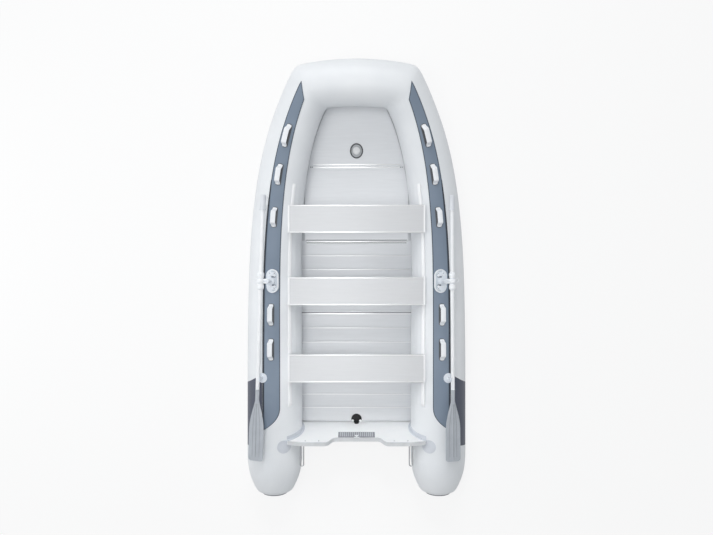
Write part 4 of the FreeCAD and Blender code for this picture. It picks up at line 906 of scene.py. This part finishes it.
def grooved_board(name, low, high, groove_places, groove_width, depth, edge):
    """A board whose top carries grooves along X; groove_places are Y."""
    board = cube(name, low, high)
    for place in groove_places:
        for side in (-0.5, 0.5):
            cut_place = (0, place + side * groove_width, 0)
            reshaped(board, bpy.ops.mesh.bisect, plane_co=cut_place, plane_no=(0, 1, 0))
    bpy.ops.object.mode_set(mode="EDIT")
    mesh = bmesh.from_edit_mesh(board.data)
    for face in mesh.faces:
        spot = face.calc_center_median()
        inside = any(abs(spot.y - place) < groove_width * 0.5 for place in groove_places)
        face.select = face.normal.z > 0.9 and inside
    mesh.select_flush_mode()
    for part in (mesh.verts, mesh.edges):
        for item in part:
            item.select = any(face.select for face in item.link_faces)
    bmesh.update_edit_mesh(board.data)
    bpy.ops.mesh.extrude_region_move(TRANSFORM_OT_translate={"value": (0, 0, -depth)})
    bpy.ops.object.mode_set(mode="OBJECT")
    return smooth(bevelled(board, edge, 40.0), 35.0)


PLANK_EDGES = (-1.17, -1.055, -0.942, -0.832, -0.722, -0.612, -0.502, -0.382, -0.2665,
               -0.238, -0.12, -0.003, 0.1115, 0.2275, 0.351)
PLANK_HALF_LENGTH = 0.4655
plank_low, plank_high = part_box("floor_planks")
planks = []
for first, last in zip(PLANK_EDGES, PLANK_EDGES[1:]):
    shares = (0.16, 0.3, 0.44, 0.58, 0.72, 0.86) if last - first > 0.05 else ()
    grooves = [first + (last - first) * share for share in shares]
    planks.append(grooved_board("floor_plank", (-PLANK_HALF_LENGTH, first, plank_low.z),
                                (PLANK_HALF_LENGTH, last - 0.0008, plank_high.z),
                                grooves, 0.0034, 0.001, 0.0005))
DRAIN_Y = -1.156
deselect()
bpy.ops.mesh.primitive_cylinder_add(vertices=64, radius=0.046, depth=0.2, location=(0, DRAIN_Y, 0.1))
cutter = settle(named("drain_cutter"))
modified(planks[0], "BOOLEAN", object=cutter, operation="DIFFERENCE")
bpy.data.objects.remove(cutter)
floor_planks = joined("floor_planking", planks)
finish(floor_planks, floor_metal, ("floor_planks",))


# White beads along the plank seams, broader ones on the joiners, their white partly a painted highlight, with
# painted seam shadow beside them

FLOOR_TOP = plank_high.z
JOINER_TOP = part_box("floor_joiners")[1].z
beads = [bar("bead", 0.463, seam - 0.008, seam - 0.002, FLOOR_TOP - 0.001, FLOOR_TOP + 0.001)
         for seam in PLANK_EDGES[1:-1] if abs(seam + 0.252) > 0.02]
beads.append(bar("bead", 0.464, -0.2735, -0.2595, FLOOR_TOP - 0.001, FLOOR_TOP + 0.0022))
beads.append(bar("bead", 0.422, 0.3375, 0.3485, JOINER_TOP - 0.001, JOINER_TOP + 0.0014))
beads.append(bar("bead", 0.372, 0.965, 0.978, JOINER_TOP - 0.001, JOINER_TOP + 0.0014))
beads.append(bar("bead", 0.366, 0.988, 0.999, FLOOR_TOP, FLOOR_TOP + 0.0052))
finish(joined("floor_beads", beads), bright_bead_and_highlight)
seam_shadows_and_dots = [bar("gap", 0.464, -0.259, -0.253, FLOOR_TOP - 0.001, FLOOR_TOP + 0.0006),
        bar("gap", 0.422, 0.329, 0.335, JOINER_TOP - 0.001, JOINER_TOP + 0.0006),
        bar("gap", 0.425, 0.353, 0.358, FLOOR_TOP - 0.001, FLOOR_TOP + 0.0006)]
# Dark dots at the ends of the bow joiner
for x in (-0.386, -0.372, 0.372, 0.386):
    seam_shadows_and_dots.append(disc("gap", (x, 0.9715, JOINER_TOP - 0.0005), 0.0042, 0.003))
finish(joined("floor_seam_shadows_and_dots", seam_shadows_and_dots), seam_shadow_and_end_dots)
# Edge strips on the floor's sides, their dark grey partly painted shade at the tubes
edge_shade_strips = [block("strip", (x - 0.0035, -1.168, 0.0965), (x + 0.0035, 0.345, FLOOR_TOP + 0.0022))
          for x in (-0.47, 0.47)]
finish(joined("floor_edge_shade_strips", edge_shade_strips), edge_strip_and_shade, ("floor_stringers",))


# Keel valve: a turned cap inside the dark ring

VALVE_Y = 1.107
valve_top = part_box("keel_valve")[1].z
valve_rings = [disc("valve_face", (0, VALVE_Y, valve_top - 0.0015), 0.029, 0.0022, sides=48)]
for reach, minor in ((0.027, 0.0016), (0.013, 0.0014)):
    place = (0, VALVE_Y, valve_top + 0.001)
    valve_rings.append(torus("valve_ring", place, reach, minor, rotation=(0.04, 0, 0)))
valve_rings.append(bar("valve_grip", 0.011, VALVE_Y - 0.0025, VALVE_Y + 0.0025, valve_top - 0.001,
                       valve_top + 0.005, 0.0012))
finish(joined("keel_valve_cap", valve_rings, 60.0), valve_plastic)


# Drain: black rim and core with a pale recess between them, cut off where the transom starts

drain_cap = disc("drain_cap", (0, DRAIN_Y, 0.09), 0.043, 0.0135, sides=64, edge=0.003)
drain_core = disc("drain_core", (0, -1.157, 0.09), 0.0215, 0.0165, sides=40, edge=0.002)
drain_notches = [disc("drain_notch", (x, -1.17, 0.095), 0.0105, 0.01) for x in (-0.0325, 0.0325)]
TRANSOM_FRONT_Y = -1.1805
for piece, material, slot, replaced in (
        (joined("drain_notches", drain_notches), board_paint, "valve_plastic", ()),
        (joined("drain_moulding", [drain_cap, drain_core], 50.0), black_plastic, "drain", ("drain_plug",))):
    reshaped(piece, bpy.ops.mesh.bisect, plane_co=(0, TRANSOM_FRONT_Y, 0), plane_no=(0, 1, 0), use_fill=True,
             clear_inner=True)
    finish(piece, material, replaced)


# Bench rails: a white track on the inner flank of each tube, with a soft flange below it

RAIL_FRONT_Y = 0.835
RAIL_AFT_Y = -0.985
RAIL_HEIGHT = 0.011
RAIL_TOP_ANGLE = 124.0
RAIL_FOOT_ANGLE = 131.5
FLANGE_ANGLE = 148.0


def rail_track_place(u, v):
    y = RAIL_AFT_Y + (RAIL_FRONT_Y - RAIL_AFT_Y) * u
    across_share = (1.0 - abs(v * 2.0 - 1.0) ** 6) ** 0.5
    end_share = min(1.0, (1.0 - abs(u * 2.0 - 1.0)) * 60.0)
    return on_skin(y, RAIL_TOP_ANGLE + (RAIL_FOOT_ANGLE - RAIL_TOP_ANGLE) * v,
                   0.0015 + RAIL_HEIGHT * across_share * end_share)


def rail_flange_place(u, v):
    y = RAIL_AFT_Y + 0.01 + (RAIL_FRONT_Y - RAIL_AFT_Y - 0.02) * u
    return on_skin(y, RAIL_FOOT_ANGLE - 1.0 + (FLANGE_ANGLE - RAIL_FOOT_ANGLE) * v, 0.0008)


cloth_patch("bench_rail_track", 90, 12, rail_track_place, bench_plastic,
            ("bench_rails",), 0.0016)
cloth_patch("bench_rail_flange", 90, 6, rail_flange_place, tube_cloth, (), 0.0022)


# Benches: broad flat boards with a fine groove near each long edge

for name in ("forward", "middle", "aft"):
    node = "bench_" + name
    low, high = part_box(node)
    places = [low.y + share * (high.y - low.y) for share in (0.07, 0.11, 0.89, 0.93)]
    bench = grooved_board(node + "_board", low, high, places, 0.0026, 0.0012, 0.0006)
    finish(bench, bench_metal, (node,))
    # White lips along both long edges of the bench: painted highlight on its edges
    highlight_lips = [bar("lip", 0.5285, y, y + 0.009, high.z - 0.003, high.z + 0.0012, 0.0008)
            for y in (low.y, high.y - 0.009)]
    finish(joined(node + "_lips", highlight_lips), bright_bead_and_highlight)


# Oars: drawn at the post's foot, X outboard, Y forward, Z up the post, then set in place

LOCK_FOOT = Vector((0.665372, 0.016952, 0.438957))
POST_LEAN = 16.0
PIVOT_REACH = 0.062
PIVOT_HEIGHT = 0.088
YAWS = {"port": 1.8, "starboard": 0.3}


def on_post(piece, side, yaw=None):
    """Carry a piece drawn at the post's foot to its side of the boat."""
    turn = YAWS[side] if yaw is None else yaw
    matrix = Matrix.Translation(LOCK_FOOT) @ Matrix.Rotation(math.radians(POST_LEAN), 4, "Y")
    matrix = matrix @ Matrix.Rotation(math.radians(turn), 4, "Z")
    piece.data.transform(matrix)
    return turned_over(piece) if side == "port" else piece


BLADE_ROOT_Y = -0.849
BLADE_TIP_Y = -1.409
BLADE_NECK = 0.016
BLADE_FULL_WIDTH = 0.062
BLADE_ROOT_DEPTH = 0.017
BLADE_DEPTH = 0.0042


def blade_half_width(share):
    """Half width from root to tip: round neck, long flare, straight sides and rounded corners."""
    flare = math.sin(clamped((share - 0.15) / 0.42) * math.pi / 2) ** 1.2
    width = BLADE_NECK + (BLADE_FULL_WIDTH - BLADE_NECK) * flare
    past_corner = max(0.0, (share - 0.965) / 0.035)
    return width - 0.018 * (1.0 - math.sqrt(max(0.0, 1.0 - past_corner ** 2)))


def blade_half_depth(share):
    depth = BLADE_ROOT_DEPTH + (BLADE_DEPTH - BLADE_ROOT_DEPTH) * min(1.0, share / 0.55) ** 0.7
    past_corner = max(0.0, (share - 0.975) / 0.025)
    return depth - 0.0025 * past_corner ** 2


def oar_blade(side):
    """A blade swept from its neck, then pressed with a middle rib, two valleys and a raised lip."""
    rings = []
    shares = [0.0, 0.006] + spread(0.02, 0.12, 6) + spread(0.14, 0.95, 34) + [0.965, 0.975, 0.985, 0.993, 1.0]
    for share in shares:
        y = BLADE_ROOT_Y + (BLADE_TIP_Y - BLADE_ROOT_Y) * share
        edge_and_oar_shadow = Vector((blade_half_width(share), 0, 0))
        deep = Vector((0, 0, blade_half_depth(share)))
        rings.append(ring_matrix(Vector((PIVOT_REACH, y, PIVOT_HEIGHT)), edge_and_oar_shadow, deep, Vector((0, 1, 0))))
    blade = swept("oar_blade_moulding_" + side, rings, 96)
    for vertex in blade.data.vertices:
        share = (vertex.co.y - BLADE_ROOT_Y) / (BLADE_TIP_Y - BLADE_ROOT_Y)
        width = blade_half_width(share)
        spot = (vertex.co.x - PIVOT_REACH) / width
        flatness = clamped((share - 0.18) / 0.25)
        fade = flatness * (1.0 - max(0.0, (share - 0.93) / 0.07))
        rib = math.exp(-((spot * width) / 0.0055) ** 2) * 0.0042
        valleys = math.exp(-(((abs(spot) - 0.47) * width) / 0.0038) ** 2) * 0.0022
        lip = math.exp(-((abs(spot) - 0.93) / 0.06) ** 2) * 0.0012
        upward = 1.0 if vertex.co.z > PIVOT_HEIGHT else -1.0
        level = abs(vertex.co.z - PIVOT_HEIGHT)
        plate = BLADE_DEPTH * (1.0 - abs(spot) ** 8) ** 0.5 if abs(spot) < 1.0 else 0.0
        level = level + (max(level, plate) - level) * flatness
        if level > 0.0004:
            vertex.co.z = PIVOT_HEIGHT + upward * (level + fade * (rib - valleys + lip))
    reshaped(blade, bpy.ops.mesh.fill_holes, sides=0)
    return smooth(reshaped(blade, bpy.ops.mesh.normals_make_consistent, inside=False), 40.0)


def blade_shade_lines(side, faces):
    """Painted shade: fine dark lines along the middle rib and the valleys on both faces of a blade."""
    def line_place(u, v):
        share = 0.2 + 0.74 * u
        x = PIVOT_REACH + lane * blade_half_width(share) + half_width * (v * 2.0 - 1.0)
        start = Vector((x, BLADE_ROOT_Y + (BLADE_TIP_Y - BLADE_ROOT_Y) * share, PIVOT_HEIGHT + upward * 0.1))
        return faces.ray_cast(start, Vector((0, 0, -upward)))[0] + Vector((0, 0, upward * 0.0002))

    lines = []
    for upward in (1.0, -1.0):
        for lane, half_width in ((0.0, 0.0015), (-0.47, 0.001), (0.47, 0.001)):
            lines.append(thickened(sheet_over("line", 60, 2, line_place), 0.0006, 0.0))
    return on_post(joined("blade_shade_lines_" + side, lines), side)


for side in ("port", "starboard"):
    blade = oar_blade(side)
    finish(blade_shade_lines(side, faces_of(blade)), blade_shade, (), "oar_" + side)
    finish(on_post(blade, side), blade_plastic, ("oar_blade_" + side,), "oar_" + side)


# Grab handles: a dark rubber base, whose dark colour also paints the shade under the strap, and a white strap
# that arches over it

HANDLE_PLACES = (1.2, 0.892, 0.53, -0.25, -0.526)


HANDLE_LEAN = 0.22


def beside_handle(y, x, z):
    """A point beside a handle at y: x outboard of its middle, z over the crown band."""
    angle = sum(full_band_angles(y)) / 2 - math.degrees((x + HANDLE_LEAN * z) / tube_radius(y))
    return on_skin(y, angle, BAND_TOP + z)


def strap_height(share):
    """Height of the strap's top along its length, -1 to 1."""
    climb = clamped((0.9 - abs(share)) / 0.34)
    return 0.0065 + 0.0275 * climb * climb * (3.0 - 2.0 * climb)


def rounded_end(share, width, point):
    return width * (1.0 - abs(share) ** point) ** 0.5


def shade_base_place(u, v):
    share = u * 2.0 - 1.0
    return beside_handle(handle_y + share * 0.09, (v * 2.0 - 1.0) * rounded_end(share, 0.0235, 14.0), 0.0)


def strap_place(u, v):
    """The strap's top, with a low rib along its middle."""
    share = u * 2.0 - 1.0
    rib = 0.0016 * math.exp(-((v - 0.5) / 0.16) ** 2)
    return beside_handle(handle_y + share * 0.085, (v * 2.0 - 1.0) * rounded_end(share, 0.017, 40.0),
                         strap_height(share) + rib)


shade_bases = []
straps = []
for handle_y in HANDLE_PLACES:
    base = faces_up(sheet_over("base", 30, 8, shade_base_place), tube_middle)
    shade_bases.append(bevelled(thickened(base, 0.0035, 1.0), 0.0009))
    strap = faces_up(sheet_over("strap", 56, 8, strap_place), tube_middle)
    straps.append(bevelled(thickened(strap, 0.006, -1.0), 0.0014))
for name, pieces, material, replaced in (
        # The dark base stands partly for the painted shade beneath each strap
        ("handle_shade_bases", shade_bases, seal_rubber, ()),
        ("handle_straps", straps, handle_rubber, ("grab_handles_",))):
    whole = joined(name + "_starboard", pieces, 40.0)
    twin = port_twin(whole, name + "_port")
    finish(whole, material, [node + "starboard" for node in replaced])
    finish(twin, material, [node + "port" for node in replaced])


# Oarlocks: a rim, a skirt and a field on each pad, the field darkened as painted recess shade, then its lugs,
# and its slots and its screws painted dark as their shade

PAD_REACH = 0.041


def stadium(piece):
    """Draws a round piece out along Y to two half circles joined by straight sides."""
    for vertex in piece.data.vertices:
        if abs(vertex.co.y) > 0.00001:
            vertex.co.y += math.copysign(PAD_REACH, vertex.co.y)
    return piece


for side in ("port", "starboard"):
    rim = stadium(torus("lock_rim", (0, 0, 0.0055), 0.049, 0.0042, 96, 12))
    skirt = stadium(disc("lock_skirt", (0, 0, -0.01), 0.051, 0.016, sides=96, edge=0.002))
    # The field inside the rim, darker as painted recess shade
    field = stadium(disc("lock_field_" + side, (0, 0, 0.005), 0.043, 0.002, sides=96))
    lugs = [disc("lug", (x, y, 0.006), 0.009, 0.0032)
            for y in (-0.062, -0.043, 0.043, 0.062) for x in (-0.0195, 0.0195)]
    lugs.append(bar("bridge", 0.03, -0.048, -0.0395, 0.006, 0.013, 0.0015))
    lugs.append(bar("bridge", 0.03, 0.0395, 0.048, 0.006, 0.013, 0.0015))
    lugs.append(disc("washer", (0, 0, 0.0255), 0.017, 0.004, sides=40))
    # Slots and screw heads in dark grey: painted shade
    shades = [bar("slot", 0.029, y - 0.0055, y + 0.0055, 0.006, 0.0076, 0.0008) for y in (-0.033, 0.033)]
    shades += [disc("screw", (x, y, 0.0085), 0.0042, 0.0016)
               for y in (-0.062, 0.062) for x in (-0.0195, 0.0195)]
    for piece, material in (
            (joined("lock_pad_" + side, [rim, skirt], 40.0), pad_plastic),
            (field, field_plastic_and_recess_shade),
            (joined("lock_lugs_" + side, lugs), pad_plastic),
            (joined("lock_slot_shades_" + side, shades), painted_recess_shade)):
        finish(on_post(piece, side, 0.0), material)


# Collars: three beads with necks between them, a yoke to the post and a thumb loop

def collar_bead(y, half_length, radius):
    """A round bead on the shaft, flattened a little at its ends."""
    middle = Vector((PIVOT_REACH, y, PIVOT_HEIGHT))
    deselect()
    bpy.ops.mesh.primitive_uv_sphere_add(segments=32, ring_count=16, radius=1.0, location=middle)
    bead = settle(named("collar_bead"))
    for vertex in bead.data.vertices:
        spot = vertex.co - middle
        length = math.copysign(abs(spot.y) ** 0.8, spot.y) * half_length
        vertex.co = middle + Vector((spot.x * radius, length, spot.z * radius))
    return bead


for side in ("port", "starboard"):
    parts = [collar_bead(-0.049, 0.025, 0.0265), collar_bead(0.0, 0.027, 0.0285),
             collar_bead(0.049, 0.025, 0.0265)]
    for y in (-0.0245, 0.0245):
        parts.append(disc("collar_neck", (PIVOT_REACH, y - 0.005, PIVOT_HEIGHT), 0.0195, 0.01, (0, 1, 0)))
    for y in (-0.019, 0.007):
        parts.append(block("yoke", (0.006, y, PIVOT_HEIGHT - 0.0065),
                           (PIVOT_REACH - 0.016, y + 0.012, PIVOT_HEIGHT + 0.0065), 0.002))
    parts.append(torus("thumb_loop", (PIVOT_REACH + 0.039, 0.004, PIVOT_HEIGHT), 0.015, 0.003, 36,
                       rotation=(0.25, 0, 0.4)))
    fittings = on_post(joined("collar_beads_" + side, parts, 50.0), side)
    finish(fittings, pad_plastic, (), "oarlock_" + side)


# Transom: screws, ribs on the inner motor plate and a pale notch at its top

transom_faces = faces_of(nodes["transom"])
plate_faces = faces_of(nodes["motor_plate_inner"])


def transom_front(faces, x, z):
    """The place and the outward direction of what faces the bow at x and z."""
    return faces.ray_cast(Vector((x, -0.9, z)), Vector((0, -1, 0)))[:2]


TRANSOM_RAKE = 12.5
fixings = []
for x in (-0.408, -0.3, 0.3, 0.408):
    spot, normal = transom_front(transom_faces, x, 0.425)
    fixings.append(disc("screw", spot - normal * 0.0005, 0.005, 0.0022, normal, 20))
finish(joined("transom_screws", fixings), steel)
ribs = []
for number in range(17):
    spot, normal = transom_front(plate_faces, -0.128 + 0.016 * number, 0.33)
    deselect()
    bpy.ops.mesh.primitive_cube_add(size=1.0, location=spot + normal * 0.0008, scale=(0.0075, 0.003, 0.066),
                                    rotation=(math.radians(TRANSOM_RAKE), 0, 0))
    ribs.append(bevelled(settle(named("rib")), 0.0008, 40.0))
finish(joined("motor_plate_ribs", ribs), rib_plastic)
spot, normal = transom_front(plate_faces, 0.0, 0.356)
notch = disc("motor_plate_notch", spot - normal * 0.0005, 0.021, 0.004, normal, 3)
finish(notch, board_paint)
spot, normal = transom_front(transom_faces, 0.0, 0.115)
finish(disc("drain_sleeve", spot - normal * 0.0005, 0.02, 0.004, normal, 40), black_plastic)


# Stern cones: a rounded end cap, its dark grey also painting the shadow line at the cone's end, with a pale
# bead round it

caps = [disc("cone_cap", (x, CONE_END_Y + 0.001, STERN_RADIUS), 0.103, CONE_CAP, (0, -1, 0), 96, 0.004)
        for x in (TUBE_X, -TUBE_X)]
finish(joined("cone_end_caps", caps), cap_plastic_and_shade, ("cone_caps",))
for x, name in ((TUBE_X, "cone_bead_starboard"), (-TUBE_X, "cone_bead_port")):
    bead = torus(name, (x, CONE_END_Y - 0.001, STERN_RADIUS), 0.1045, 0.0052, 72, 12, (math.pi / 2, 0, 0))
    finish(smooth(bead, 60.0), tube_cloth)


# Pale floor that shines a little toward the camera, and soft light

deselect()
bpy.ops.mesh.primitive_plane_add(size=400.0, location=(0, 0, -0.002))
ground = named("studio_floor")
ground_paint = shader("studio floor", (0.86, 0.865, 0.87), 0.7)
glow = add_node(ground_paint, "ShaderNodeEmission", Strength=1.0)
rays = add_node(ground_paint, "ShaderNodeLightPath")
share_of_glow = add_node(ground_paint, "ShaderNodeMath", operation="MULTIPLY")
share_of_glow.inputs[1].default_value = 0.82
blend = add_node(ground_paint, "ShaderNodeMixShader")
link(ground_paint, rays.outputs["Is Camera Ray"], share_of_glow.inputs[0])
link(ground_paint, share_of_glow.outputs[0], blend.inputs["Fac"])
link(ground_paint, surface_of(ground_paint).outputs[0], blend.inputs[1])
link(ground_paint, glow.outputs[0], blend.inputs[2])
link(ground_paint, blend.outputs[0], ground_paint.node_tree.nodes["Material Output"].inputs["Surface"])
ground.data.materials.append(ground_paint)
ground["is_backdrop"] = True


def soft_lamp(name, place, target, size, watts, spread_angle=180.0):
    data = bpy.data.lights.new(name, "AREA")
    data.shape = "DISK"
    data.size = size
    data.energy = watts
    data.spread = math.radians(spread_angle)
    lamp = bpy.data.objects.new(name, data)
    bpy.context.collection.objects.link(lamp)
    lamp.location = place
    lamp.rotation_euler = (Vector(target) - Vector(place)).to_track_quat("-Z", "Y").to_euler()


soft_lamp("overhead_softbox", (-0.9, 0.2, 6.5), (0, 0, 0.2), 3.4, 98.0)
soft_lamp("bow_softbox", (-0.6, 5.6, 5.0), (0, 0, 0.2), 3.2, 125.0)
soft_lamp("port_softbox", (-5.0, 0.3, 2.2), (0, 0, 0.2), 2.2, 42.0)
soft_lamp("stern_softbox", (0, 3.0, 4.6), (0, -1.25, 0.25), 0.9, 1.2, 24.0)
world = bpy.data.worlds.new("studio air")
bpy.context.scene.world = world
world.use_nodes = True
air = world.node_tree.nodes["Background"]
air.inputs["Color"].default_value = (0.96, 0.98, 1.0, 1.0)
air.inputs["Strength"].default_value = 0.5
bpy.context.scene.view_settings.view_transform = "Standard"

low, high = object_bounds()
